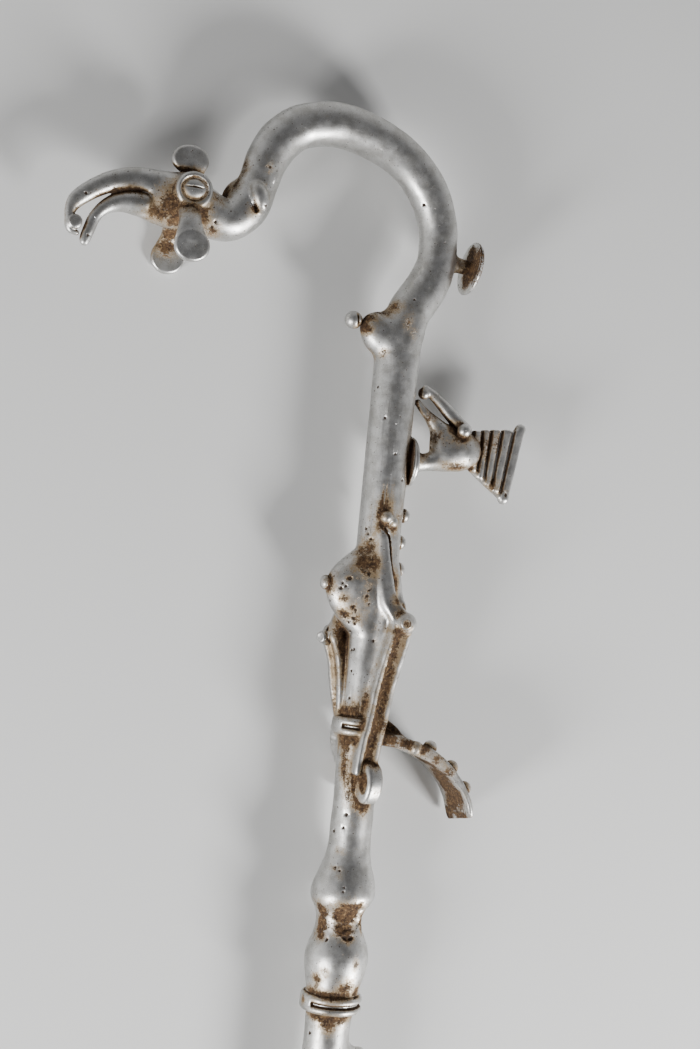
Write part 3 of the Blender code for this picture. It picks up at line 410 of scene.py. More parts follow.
# %% The neck
CROOK = 1.11
NECK_RADIUS = 10.5
NECK_POINTS = (
    (0.2, 0, 1.08), (0.2, 3, 1.08), (0.9, 12, 1.08), (4.1, 23, 1.05), (10.9, 34.9, 1.02),
    (14.1, 45, 0.95), (14.3, 54.1, 0.92), (13, 63.2, 0.94), (8, 75.3, 0.97), (-1.3, 86.3, 0.98),
    (-13.9, 94.1, 1.01), (-29.3, 98.9, 1.04), (-41.9, 99.9, 1.05), (-55.6, 96.6, 1.03),
    (-64.6, 89.5, 1.03), (-70.1, 79.8, 0.99), (-73, 69.4, 0.94), (-76.6, 58.2, 0.99), (-83.6, 51, 0.96),
    (-92.8, 51, 1.02), (-103, 54.4, 0.96),
)


def plane_roll(points, fillet, place=(0.0, 0.0), scale=1.0):
    """A roll in the staff's middle plane, from points of (x, y, half height, half width)."""
    rows = [
        (place[0] + x * scale, place[1] + y * scale, 0.0, tall * scale, wide * scale)
        for x, y, tall, wide in points
    ]
    roll(smooth(rows), fillet)


neck_halves = [share * NECK_RADIUS / CROOK for _, _, share in NECK_POINTS]
neck = [(x, y, half, half) for (x, y, _), half in zip(NECK_POINTS, neck_halves)]
plane_roll(neck, 0.6, scale=CROOK)
print("neck points:", len(neck))

# %% [markdown]
# ## The head
# The head is a short oval roll with two beaks that curve down. The upper one ends in a hook with a
# button inside it. Both beaks get thinner to the tip, so each point carries its own half height and
# half width, in hundredths of the head's height.

# %% The head and its beaks
HEAD = (-105.4 * CROOK, 55.0 * CROOK)
HEAD_UNIT = 0.25
HEAD_POINTS = (
    (68, -17, 38, 38), (48, -14, 45, 44), (20, -4, 50, 48), (-12, 4, 51, 45), (-36, 8, 47, 34),
    (-56, 14, 38, 21),
)
UPPER_BEAK = (
    (-46, 24, 30, 24), (-74, 28.5, 26, 22), (-100, 29.8, 23.6, 20), (-125.6, 24.6, 22.2, 19),
    (-149.6, 16.2, 20.4, 17.5), (-175.2, 1.4, 18.6, 16), (-196, -13.8, 17.6, 14),
    (-209.6, -27.4, 15.6, 12.5), (-216.8, -43.4, 11.6, 10.5), (-219, -61, 8, 9), (-218.6, -74, 7, 8),
    (-213.2, -84, 6.4, 7.5), (-202, -87.8, 5.4, 6.5),
)
JAW = (
    (-30, -22, 31, 29), (-48, -22, 28, 24), (-66, -22.5, 23.5, 18), (-84, -24.5, 16.5, 12),
    (-102, -28, 10, 8), (-120, -28.5, 5, 4),
)
LOWER_BEAK = (
    (-80, -12.5, 20.5, 25), (-102.8, -13.4, 20.6, 22), (-123.2, -16.6, 19, 18),
    (-136.8, -21.6, 16.8, 15), (-150.4, -29.8, 14.2, 13), (-162.4, -41.6, 12.4, 11.5),
    (-172.4, -58.2, 11.8, 11), (-179.2, -79, 11.6, 10.5), (-183.6, -95, 11, 9.5),
    (-185, -101.5, 9.4, 8.5),
)


def head_point(across, up, out=0.0):
    """A point near the head, from hundredths of its height, and a distance to its near side."""
    return np.array((HEAD[0] + across * HEAD_UNIT, HEAD[1] + up * HEAD_UNIT, out))


for points, fillet in ((HEAD_POINTS, 1.6), (UPPER_BEAK, 1.4), (JAW, 1.6), (LOWER_BEAK, 1.0)):
    plane_roll(points, fillet, HEAD, HEAD_UNIT)
paddle(head_point(-207.6, -67.6), 3.5, 3.0, 1.0, 0.3, 0.4)
print("head centre:", [round(value, 1) for value in HEAD])

# %% [markdown]
# The eyes are thick discs on short stems. A bean with a slit lies in a dished ring, so we carve a
# shallow seat into the disc and set a pellet in it. The thin step that is left between the two is
# the dark groove of the real eye. The comb is an oval paddle on a stem over the eyes.

# %% Eyes and comb
EYE_RADIUS = 8.9
EYE_REACH = 14.4
SEAT_HALVES = (6.95, 6.1, 2.0)
BEAN_HALVES = (6.25, 5.35, 2.9)
EYE_SLIT_HALVES = (BEAN_HALVES[0] * 0.86, 0.36, 1.2)
# Rows of the comb's stem: its place on the head, its half height and its half width
COMB_STEM = (
    (30, 20, 4.8, 5.2), (17, 54, 3.4, 4.3), (13, 64, 2.9, 5), (8, 76, 2.6, 7), (4, 84, 2.5, 7.6),
)

for side in (1, -1):
    out = TO_NEAR * side
    middle = head_point(4.0, 21.0)
    disc(head_point(5.0, 19.0), out, (EYE_RADIUS * 1.12, EYE_RADIUS), (0, EYE_REACH), 1.7, 2.2)
    pellet(middle + out * (EYE_REACH + 0.1), STAFF_AXES, SEAT_HALVES, 0.5, action=carve)
    pellet(middle + out * (EYE_REACH - 1.9), STAFF_AXES, BEAN_HALVES, 0.15)
    slit(middle + out * (EYE_REACH + 1.0) + UP * 0.7, STAFF_AXES, EYE_SLIT_HALVES)

paddle(head_point(4.0, 84.0), 9.3, 1.8, 1.6, 0.8, 1.1, flat=1.3)
roll(smooth([
    (*head_point(across, up), tall, wide, *TO_BACK) for across, up, tall, wide in COMB_STEM
]), 1.2)
print("eye face stands", EYE_REACH, "mm off the middle plane")

# %% [markdown]
# Two wattles hang beside the throat, one on each side. Each is a flat paddle on a wide stem that
# leaves the head sideways and turns down. Behind the head two long lumps lie across the bend.

# %% Wattles and tufts
WATTLE_OUT = 20.1
# Each stem: its points, each with a half height and a half width
NEAR_STEM = (
    (-116.5, 59, 6, 4.6, 6.2), (-117, 55, 12.6, 3.8, 5.5), (-117.2, 50.4, 17, 3, 5.6),
    (-117, 45.4, 19.4, 2.4, 6.8), (-116.4, 41.4, 20, 2.1, 7.9),
)
FAR_STEM = (
    (-118, 58, -5, 4.8, 6), (-119, 52.6, -11.6, 3.9, 4.8), (-118, 47.6, -16.8, 3, 4.5),
    (-117.6, 42.6, -19.4, 2.4, 6.4), (-117.5, 39, -20, 2.1, 7.6),
)
# Each wattle: its centre on the head, how far out it is, its half width and half height, its stem
WATTLES = (
    (3.2, -90, WATTLE_OUT, 8.7, 7.7, NEAR_STEM), (-2.4, -99, -WATTLE_OUT, 8.4, 8, FAR_STEM),
)
# Each tuft: its centre, the way it lies, its half sizes and its fillet
TUFTS = (
    ((-82.6, 68.2, 8.6), (0.31, -0.95, 0), (7.8, 4.6, 5.4), 1.4),
    ((-91.6, 72.2, -7), (0.6, 0.8, 0), (7.2, 3.4, 4.4), 3),
)

for across, up, out, half_width, half_height, stem in WATTLES:
    paddle(head_point(across, up, out), half_width, 1.9, 1.4, 0.6, 0.2, half_width / half_height)
    roll([(*row, *TO_BACK) for row in smooth(stem)], 1.2)
for centre, lean, halves, fillet in TUFTS:
    lean = unit(lean)
    pellet(centre, (lean, np.cross(lean, TO_NEAR), TO_NEAR), halves, fillet)
roll([(-86.6, 67.5, 8.6, 1.2, 1.2), (-83.4, 61.4, 9.8, 1.0, 1.0)], 0.8, action=carve)
print("wattles", 2 * WATTLE_OUT, "mm apart")

# %% [markdown]
# ## Throat spur and neck disc
# Below the crook a pointed spur leaves the front of the shaft. A slit bead sits on its blunt tip,
# and the small fillet between them stays a dark line. A dished disc stands off the back of the neck
# on a short stem.

# %% Spur and disc
SPUR_TIP = np.array((-24.9, 16.8, 0.0))
SPUR_POINTS = (
    (0, 11, 14, 10.5), (-4, 11.4, 13.4, 9.8), (-9, 12.4, 11.4, 8.6), (-12.6, 14.2, 9, 7.2),
    (-15, 15.6, 7, 5.4),
)
BEAD_RADIUS = 4.5
BEAD_SLIT_HALVES = (0.42, 3.0, 1.3)
DISC_FROM_NECK = 18.4
DISC_DROOP = math.radians(-7.0)

plane_roll(SPUR_POINTS, 3.0)
ball(SPUR_TIP, BEAD_RADIUS, 0.2)
slit_axes = (unit((1.0, 0.18, 0.0)), unit((-0.18, 1.0, 0.0)), TO_NEAR)
for side in (1, -1):
    slit(SPUR_TIP + np.array((1.2, 0.3, side * BEAD_RADIUS * 0.96)), slit_axes, BEAD_SLIT_HALVES)

disc_out = np.array((math.cos(DISC_DROOP), math.sin(DISC_DROOP), 0.0))
disc_root = np.array((14.1 * CROOK, 45.0 * CROOK + 3.2, 0.0))
disc_ends = (DISC_FROM_NECK, DISC_FROM_NECK + 2.4)
disc(disc_root, disc_out, (14.1, 13.2), disc_ends, 1.0, 0.6, domes=(-0.9, 1.2))
disc(disc_root, disc_out, (4.6, 3.4), (0.0, DISC_FROM_NECK + 1.5), 0.5, 2.6)
print("spur length:", round(float(np.linalg.norm(SPUR_TIP)), 1), "mm")

# %% [markdown]
# ## The small bird
# A small bird stands off the back of the shaft on a peg with a thin plate. Its beak points back to
# the shaft, with a bead in its tip, and its tail is a fan of bars with deep grooves between them.

# %% The small bird
BIRD = np.array((37.5, -42.0))
BIRD_UNIT = 0.24
PEG_STATION = 48.5
BIRD_UPPER_BEAK = (
    (12, 46, 17, 16), (-8, 63, 15, 15), (-36, 87, 13.2, 13), (-62, 108, 10.5, 11), (-84, 122, 8, 8.5),
)
BIRD_LOWER_BEAK = (
    (-20, -8, 40, 33), (-29, 20, 34, 27), (-46, 42, 20, 18), (-66, 62, 12, 12), (-84, 77, 8.5, 9),
    (-99, 92, 7, 8),
)


def bird_point(across, up, out=0.0):
    """A point of the small bird, from hundredths of its length."""
    return np.array((BIRD[0] + across * BIRD_UNIT, BIRD[1] + up * BIRD_UNIT, out))


disc((0, -PEG_STATION - 1.6, 0), TO_BACK, (12.8, 12.4), (11.0, 13.6), 1.0, 1.0, domes=(0.0, 0.5))
roll(smooth([
    (5.5, -PEG_STATION, 0, 5.6, 5.6), (14.6, -49.6, 0, 5.5, 5.5),
    (20.6, -49.3, 0, 4.5, 4.6), (30.3, -46.6, 0, 6.4, 6.6), (37.5, -42, 0, 10.3, 9),
    (43.5, -41.3, 0, 8.8, 6.8),
]), 1.6)
plane_roll(BIRD_LOWER_BEAK, 1.2, BIRD, BIRD_UNIT)
plane_roll(BIRD_UPPER_BEAK, 0.7, BIRD, BIRD_UNIT)
ball(bird_point(-87.0, 113.0), 3.0, 0.4)
for side in (1, -1):
    ball(bird_point(2.0, 43.5, side * 6.3), 3.5, 0.4)
print("small bird centre:", BIRD)

# %% [markdown]
# The fan is made of flat bars side by side, with a narrow groove between two of them. A thin web
# behind them closes the fan, and a thin roll rounds its lower edge. The last bar is the longest and
# has a bead at both ends.

# %% The fan tail
# Each bar: its top, its foot, and its half width at both
FAN_BARS = (
    ((47.4, -31.4), (47.3, -50.2), 1.9, 1.5), ((52.3, -30.4), (51.5, -53.6), 1.8, 1.4),
    ((57.7, -29.8), (55.9, -56.4), 2.1, 1.6), ((63.9, -29.1), (60.8, -59.4), 2.3, 1.9),
    ((70.8, -28.3), (65.9, -63.6), 2.5, 2.2),
)
FAN_EDGE = ((46.4, -50.0), (51.4, -53.6), (56.0, -56.8), (61.0, -60.0), (64.8, -63.0))
FAN_EDGE_HALF = 1.7

fan_rows = [
    (*((np.array(top) + np.array(foot)) / 2), 0.0, 0.9, (top[1] - foot[1]) / 2, *UP)
    for top, foot, _, _ in (FAN_BARS[0], FAN_BARS[-1])
]
roll(fan_rows, 0.6, corner=0.8)
for top, foot, top_half, foot_half in FAN_BARS:
    bar = [(*top, 0.0, 2.8, top_half, *TO_BACK), (*foot, 0.0, 2.6, foot_half, *TO_BACK)]
    roll(bar, 0.2, corner=1.1)
roll(smooth([(x, y, 0.0, FAN_EDGE_HALF, FAN_EDGE_HALF) for x, y in FAN_EDGE], 3), 0.6)
last_top, last_foot = FAN_BARS[-1][:2]
ball((last_top[0] + 0.8, last_top[1] + 1.2, 0.0), 2.9, 0.5)
ball((*last_foot, 0.0), 2.7, 0.5)
print("fan bars:", len(FAN_BARS))

# %% [markdown]
# ## The body
# Half-way down, the shaft becomes a body with a pointed belly and a navel. We swell the shaft with
# an oval that is longer to the front than to the back. Buttons mark the spine and the shoulders.

# %% Belly, spine and shoulders
BELLY_STATION = 115.0
BELLY_ABOVE = 21.0
BELLY_BELOW = 25.0
BODY_BELOW = 38.0
# How far the body swells to the front, to the back and to the sides, and how thin it is elsewhere
BELLY_SWELL = 14.7
BACK_SWELL = 3.2
SIDE_SWELL = 2.1
THINNED = 1.2
# Each button: its station and azimuth, how far off the skin it is, its radius, rise and fillet
BUTTONS = (
    (77.4, 90, 0.9, 3.7, 3.2, 0.4), (91, 90, 0.3, 3.7, 3.2, 0.4), (104.6, 90, 1.3, 3.7, 3.2, 0.4),
    (78.9, -5, 0, 3.2, 3.2, 0.4), (78.9, 185, 0, 3.2, 3.2, 0.4), (81, 15, 0, 2.6, 1.6, 1),
)


def on_shaft(station, azimuth, radius):
    """A point round the shaft. Azimuth 0 is the near side, 90 the back and -90 the front."""
    turn = math.radians(azimuth)
    return np.array((radius * math.sin(turn), -station, radius * math.cos(turn)))


def outward(azimuth):
    return on_shaft(0.0, azimuth, 1.0)


def over_skin(station, azimuth, rise):
    """A point that stands off the shaft's skin."""
    return on_shaft(station, azimuth, float(shaft_radius(station)) + rise)


def swell(down, below):
    """1 at the belly's station and 0 at the body's upper end and this far below."""
    return np.cos(math.pi / 2 * np.clip(down / np.where(down < 0, BELLY_ABOVE, below), -1, 1))


belly_window, (x, y, z) = window((-28, -156, -16), (18, -92, 16))
down = -y - BELLY_STATION
front_swell = swell(down, BELLY_BELOW)
body_swell = swell(down, BODY_BELOW) ** 2
plain = shaft_radius(-y) - THINNED * (1.0 - body_swell) ** 2
belly_swell = BELLY_SWELL * np.maximum(front_swell, 0.0) ** 1.08
reach = plain + np.where(x < 0, belly_swell, BACK_SWELL * body_swell)
pointed = 1.0 - 0.16 * front_swell * np.clip(-x / reach, 0, 1) ** 2
gap = oval_gap((x - 0.3, z), (reach, (plain + SIDE_SWELL * body_swell) * pointed)) * 0.85
below_middle = down - (BODY_BELOW - BELLY_ABOVE) / 2
gap = np.maximum(gap, np.abs(below_middle) - (BODY_BELOW + BELLY_ABOVE) / 2)
melt(belly_window, gap.astype(np.float32), 1.2)

pellet((-25.6, -114.2, 0.4), STAFF_AXES, (2.6, 3.7, 3.6), 0.4)
for station, azimuth, lift, radius, rise, fillet in BUTTONS:
    out = outward(azimuth)
    place = over_skin(station, azimuth, lift + 0.6)
    pellet(place, (out, UP, np.cross(out, UP)), (rise, radius, radius), fillet)
print("belly reaches", round(float(reach.max()), 1), "mm to the front")

# %% [markdown]
# ## Bands
# A double band ties the waist, and another one makes the collar of the grip. Each is two rings side
# by side with a groove between them. The groove stops short at the front, where both run together.

# %% Waist band and collar
BAND_STATIONS = (184.3, 323.0)
BAND_RISE = 3.5
BAND_DRIFT = 0.2
LIP_SHIFT = 2.35
LIP_HALVES = (2.3, 2.25)
GROOVE_MIDDLE = 78.0
GROOVE_HALF_SWEEP = 138.0

for station in BAND_STATIONS:
    radius = float(shaft_radius(station)) + BAND_RISE
    centre = np.array((BAND_DRIFT, -station, 0.0))
    for shift in (-LIP_SHIFT, LIP_SHIFT):
        ring(centre + UP * shift, UP, radius - LIP_HALVES[0], LIP_HALVES, 1.3)
    band_window, (x, y, z) = around(centre, radius + 4)
    out = np.hypot(x, z) - radius
    past_groove = (degrees_from(GROOVE_MIDDLE, x, z) - GROOVE_HALF_SWEEP) * math.radians(1.0) * radius
    melt(band_window, np.maximum(oval_gap((out + 1.9, y), (1.9, 3.6)), -past_groove), 0.6)
    carve(band_window, np.maximum(oval_gap((out, y), (2.0, 1.05)), past_groove), 0.6)
    print("band at", station, "mm, radius", round(radius, 1), "mm")

# %% [markdown]
# ## The limbs
# Each limb starts as a smooth band below the shoulder, stands out at the elbow and comes in again as
# a channelled strip. The band is one flat roll with a groove carved beside it. The strip is a bar
# that reaches in to the body, and a roll carved out along its middle leaves a ridge at both edges.

# %% Rows of the two limbs
STRIP_HALF = 6.0
RIDGE_WIDTH = 3.4
RIDGE_RISE = 1.6
CHANNEL_DEPTH = 1.7
# How far the carved roll lies over the ridges, and how much wider it is than the channel
CHANNEL_LIFT = 1.0
CHANNEL_SPREAD = 1.12
# How near to the shaft's axis a strip's bar reaches
STRIP_ROOT = 4.0
# Rows of the smooth band: station, azimuth, rise over the shaft, half width
NEAR_BAND = (
    (82, -14, -0.3, 2.6), (86.5, -11, 0.6, 2.7), (90.5, -8, 1.2, 2.9), (100, -2, 2.1, 3.3),
    (110, 5, 3.6, 3.7), (116, 10, 5, 3.9), (121, 15, 6.8, 4.2), (125.4, 24, 8.8, 4.6),
    (130.3, 35, 11, 5),
)
FAR_BAND = (
    (84, 187, 0.6, 3.2), (98, 190, 2.2, 3.6), (112, 204, 3.6, 4), (124, 226, 6.4, 4.4),
    (134, 239, 9.4, 4.8), (141.5, 245, 10.6, 5),
)
# Rows of the groove behind the near band: station, azimuth, radius at its floor, half width
NEAR_GROOVE = (
    (82, -18, 10.4, 0.6), (84.5, -8, 10.2, 0.8), (87, 0, 10, 0.9), (90.2, 8, 10.1, 0.9),
    (100, 16.5, 10.6, 1), (106, 24, 11.2, 1.3), (110, 31, 11.8, 1.9), (115, 38, 12.6, 2.4),
    (119.6, 45, 13.8, 2.5), (123, 54, 16, 1.8), (125.5, 61, 18, 1),
)
# Rows of the ridge behind that groove, and of the soft fold between the belly and the strip
BACK_RIDGE = (
    (82, 40, 0.5, 4.2), (92, 42, 1, 4.4), (100, 47, 1.4, 4.2), (107, 57, 2.5, 3.6), (113, 65, 3.6, 3.2),
    (119, 66, 5.2, 3), (124, 58, 7.8, 3.3), (129, 44, 10.2, 4),
)
FLANK = (
    (110, 7, 2.4, 3), (119, 10, 3.6, 3.4), (127, 15, 3.8, 3.6), (135, 19, 3.4, 3.6),
    (144, 18.5, 2.8, 3.4), (152.5, 14.5, 2.2, 3.2), (162.6, 8.5, 1.5, 2.8), (173, 5, 0.7, 2.2),
)
# Points of the thin web that closes the gap between the far limb and the body
FAR_WEB = (
    (-14.6, -136, -4.6, 2.4, 2.8), (-13.6, -144, -5.2, 2.4, 3), (-12.6, -153, -5, 2.2, 3),
    (-11.4, -163, -4.6, 2, 2.8), (-10.4, -173, -4.2, 1.8, 2.6),
)
# Rows of a strip: station, azimuth, rise over the shaft, width share, azimuth that it faces
NEAR_STRIP = (
    (130.5, 36, 9.4, 0.96, 16), (134.5, 35.5, 9.4, 1.03, 16), (140, 34, 8.7, 1.05, 15),
    (152, 29.5, 6.5, 1.03, 11), (165, 23.5, 4.8, 1, 8), (178, 18, 4.1, 0.98, 6), (190, 10, 3.5, 1, 5),
    (201, 5, 3.2, 0.98, 5), (206, 4, 2.8, 0.96, 5),
)
FAR_STRIP = (
    (138, 243, 9, 0.80, 280), (141, 246, 9, 0.90, 282), (146, 248.5, 7.2, 0.94, 283),
    (153, 249, 5, 0.96, 283), (163, 248.5, 3.4, 0.96, 281), (173, 247, 1.8, 0.94, 272),
    (182, 238, 1.2, 0.94, 250), (192, 208, 2.4, 0.94, 206), (204, 180, 2.6, 0.94, 178),
)
print("rows for the limbs:", sum(map(len, (NEAR_BAND, FAR_BAND, NEAR_STRIP, FAR_STRIP))))

# %% [markdown]
# A limb's rows say how far it stands over the shaft's skin, so the limb follows the shaft. From two
# neighbours we get the direction ahead, and from that the direction of the width.

# %% Press the limbs on


def crest_roll(points, tall, fillet, corner=None, lean=0.0):
    """A roll whose crest follows rows of (station, azimuth, rise over the shaft, half width).

    Its face looks outwards, turned by `lean` degrees.
    """
    rows = []
    for station, azimuth, rise, half in smooth(points, 5):
        out = outward(azimuth + lean)
        rows.append((*(over_skin(station, azimuth, rise) - out * tall), tall, half, *out))
    ahead = np.gradient(np.array([row[:3] for row in rows]), axis=0)
    rows = [(*row[:5], *unit(np.cross(step, row[5:]))) for row, step in zip(rows, ahead)]
    roll(rows, fillet, corner)


def directions(path):
    """The direction ahead at each point of a path."""
    last = len(path) - 1
    return [unit(path[min(i + 1, last)] - path[max(i - 1, 0)]) for i in range(len(path))]


def strip(points):
    """A channelled strip, from (station, azimuth, rise, width share, azimuth that it faces)."""
    rows = smooth(points, 4)
    path = [over_skin(*row[:3]) for row in rows]
    bar = []
    channel = []
    for point, ahead, row in zip(path, directions(path), rows):
        out = outward(row[4])
        side = unit(np.cross(unit(ahead - out * ahead.dot(out)), out))
        half = STRIP_HALF * row[3]
        top = point + out * RIDGE_RISE
        depth = (top.dot(out) - STRIP_ROOT) / 2
        bar.append((*(top - out * depth), depth, half, *side))
        carved = (CHANNEL_DEPTH + CHANNEL_LIFT, (half - RIDGE_WIDTH) * CHANNEL_SPREAD)
        channel.append((*(top + out * CHANNEL_LIFT), *carved, *side))
    roll(bar, 1.4, corner=1.6)
    roll(channel, 0.8, action=carve)


def elbow(station, azimuth, rise, radius, boss_turn):
    """A ball at the elbow, with a small ringed boss on it."""
    centre = over_skin(station, azimuth, rise)
    ball(centre, radius, 0.9)
    out = outward(boss_turn)
    disc(centre, out, (3.2, 2.8), (0.0, radius + 0.7), 0.8, 0.5)
    disc(centre, out, (1.5, 1.5), (radius + 0.35, radius + 3.0), 0.2, 0.4, action=carve)


crest_roll(FLANK, 6.0, 2.4)
crest_roll(BACK_RIDGE, 3.6, 1.4)
crest_roll(NEAR_BAND, 3.6, 2.6, corner=2.4, lean=-20.0)
crest_roll(FAR_BAND, 4.4, 2.2)
roll([
    (*on_shaft(station, azimuth, floor + half), half, half)
    for station, azimuth, floor, half in smooth(NEAR_GROOVE, 5)
], 0.7, action=carve)
roll(smooth(FAR_WEB, 4), 2.0)
strip(NEAR_STRIP)
strip(FAR_STRIP)
elbow(130.4, 36.0, 10.9, 5.6, -16.0)
elbow(142.0, 245.0, 10.6, 3.8, 300.0)
print("limb stations:", NEAR_BAND[0][0], "to", NEAR_STRIP[-1][0])

# %% [markdown]
# Each limb ends in a hand like a scroll: the strip curls round and in. An oval drum makes the outer
# wall, and a pellet carved out of each of its two ends leaves the curl.

# %% The scroll hands
HAND_STATION = 211.0
HAND_HALF_HEIGHT = 10.4
HAND_HALF_WIDTH = 4.4
HAND_EDGE = 2.0
HAND_HOLLOW = (2.9, 5.4, 2.2)

# Each hand: its azimuth, and how far it reaches from the shaft's axis
for azimuth, outer in ((15.0, 20.5), (170.0, 20.6)):
    out = outward(azimuth)
    side = np.cross(-UP, out)
    inner = float(shaft_radius(HAND_STATION)) * 0.7
    middle = on_shaft(HAND_STATION, azimuth, (inner + outer) / 2)
    hand_window, parts = around(middle, 12)
    drum_halves = ((outer - inner) / 2, HAND_HALF_HEIGHT)
    drum = oval_gap((along(parts, out), along(parts, UP)), drum_halves)
    endways = np.abs(along(parts, side)) - HAND_HALF_WIDTH
    melt(hand_window, shared_gap(drum, endways, HAND_EDGE), 0.9)
    for turn in (-1, 1):
        end = middle + side * (HAND_HALF_WIDTH * turn) + out
        pellet(end, (out, UP, side), HAND_HOLLOW, 0.7, action=carve)
print("hand station:", HAND_STATION)

# %% [markdown]
# ## The strap tail
# Behind the waist a wide strap arches out and hangs down, thinner to its end. It is one flat bar
# with rounded edges, and the slant of its width gives the skewed end. Studs sit along its near
# edge, and a short prong runs from the waist band into it.

# %% The strap
STRAP_HALF = 17.5
STRAP_SKEW = 3.5
STRAP_POINTS = (
    (8, 189, 6.2, 0.70), (17, 189.8, 6.4, 0.83), (26, 192.4, 6.6, 0.95), (34.5, 195.4, 6.2, 1),
    (42, 199.8, 5.2, 1), (48.5, 205.4, 4.2, 1), (54, 212, 3.4, 1), (57.8, 219, 2.9, 1),
    (60, 226, 2.6, 0.96), (60.4, 227.4, 2.4, 0.88),
)
# Each stud: its share of the strap's length, its share of the half width, how far it stands off the
# strap's face, and its radius. The first one is on the strap's edge.
STUDS = ((0.22, 0.93, 0.2, 3.2), (0.33, 0.60, 0.5, 3.6), (0.53, 0.60, 0.5, 3.7), (0.70, 0.60, 0.5, 3.7))

strap_rows = smooth(STRAP_POINTS, 4)
strap_path = np.stack([strap_rows[:, 0], -strap_rows[:, 1], np.zeros(len(strap_rows))], axis=1)
strap_ahead = directions(strap_path)
strap = []
for i, (place, ahead, row) in enumerate(zip(strap_path, strap_ahead, strap_rows)):
    slant = TO_NEAR * STRAP_HALF - ahead * STRAP_SKEW * i / (len(strap_rows) - 1)
    strap.append((*place, row[2] / 2, STRAP_HALF * row[3], *unit(slant)))
roll(strap, 1.6, corner=1.05)
roll(smooth([
    (6.3, -180, 0, 3.4, 9), (15.3, -184.8, 0, 2.7, 8.8), (21, -190.2, 0, 2.4, 9),
], 5), 1.6, corner=1.6)
for share, out_share, lift, stud_radius in STUDS:
    i = round(share * (len(strap) - 1))
    up = np.cross(TO_NEAR, strap_ahead[i])
    near = np.array(strap[i][5:8]) * STRAP_HALF * out_share
    on_edge = out_share > 0.9
    place = strap_path[i] + near + up * (lift if on_edge else strap[i][3] + lift)
    halves = (3.6, stud_radius, stud_radius)
    pellet(place, (up, unit(near), np.cross(up, unit(near))), halves, 0.4)
print("strap length:", round(float(np.linalg.norm(np.diff(strap_path, axis=0), axis=1).sum()), 1), "mm")

# %% [markdown]
# ## Low spur, and the flats that the staff lies on
# A short spur with a blunt bead stands at the back of the grip. Last, the floor takes a thin slice
# off the far side. The staff lies on its far side, turned by a hair so that the head and the foot
# both touch, and these numbers say how.

# %% Low spur and flats
LIE_TILT = 0.0096
LIE_PLACE = (0.04905, 0.42659, 0.02191)
LOW_SPUR = np.array((0.0, -350.5, 0.0))

disc(LOW_SPUR, TO_BACK, (9.4, 4.0), (6.0, 16.6), 0.4, 3.0)
ball(LOW_SPUR + TO_BACK * 17.8, 4.4, 0.8)
flat_window, (x, y, z) = window((-180, -980, -30), (80, 130, -9), 0.0)
below_floor = y * math.sin(LIE_TILT) + z * math.cos(LIE_TILT) + LIE_PLACE[2] * 1000
wax[flat_window] = np.maximum(wax[flat_window], -below_floor)
print("wax filled:", int((wax < 0).sum()), "grid points")

# %% [markdown]
# ## Pits
# To set things on the skin we have to read the wax between its grid points. The distance there says
# how far to go, and the direction in which it rises says which way.

# %% Read the wax
CORNERS = [(dx, dy, dz) for dx in (0, 1) for dy in (0, 1) for dz in (0, 1)]


def sample(points):
    """The wax at any points, read between its grid values."""
    low = []
    part = []
    for k in range(3):
        line = GRID[k]
        at = np.clip(np.searchsorted(line, points[:, k]) - 1, 0, len(line) - 2)
        low.append(at)
        part.append(np.clip((points[:, k] - line[at]) / (line[at + 1] - line[at]), 0.0, 1.0))
    total = np.zeros(len(points))
    for corner in CORNERS:
        weight = np.ones(len(points))
        for k in range(3):
            weight *= part[k] if corner[k] else 1.0 - part[k]
        total += weight * wax[low[0] + corner[0], low[1] + corner[1], low[2] + corner[2]]
    return total


def slope_at(points, reach):
    """The direction in which the wax's distance rises at each point, and how fast."""
    rise = np.zeros_like(points)
    for k in range(3):
        step = STAFF_AXES[k] * reach
        rise[:, k] = (sample(points + step) - sample(points - step)) / (2 * reach)
    size = np.linalg.norm(rise, axis=1)
    return rise / np.maximum(size, 1e-6)[:, None], size


def to_skin(points, times=2, most=0.25):
    """Points moved on to the skin, and the direction that leads out of it."""
    for _ in range(times):
        direction, steepness = slope_at(points, 0.3)
        move = np.clip(sample(points) / np.maximum(steepness, 0.5), -most, most)
        points = points - direction * move[:, None]
    return points, direction


grip_middle = np.array([[0.0, -GRIP, 0.0]])
print("wax in the middle of the grip:", round(float(sample(grip_middle)[0]), 1), "mm")

# %% [markdown]
# The casting has holes where gas stood in the mould. The larger ones are real holes here: each place
# is first moved on to the skin, whatever form lies there, and then a small pellet is carved out of
# it, turned at random so that no two holes look alike.

# %% Carve the larger pits
# A pit's half sizes for a radius of 1: into the skin, and along it
PIT_HALVES = np.array((0.6, 1.35, 0.6))
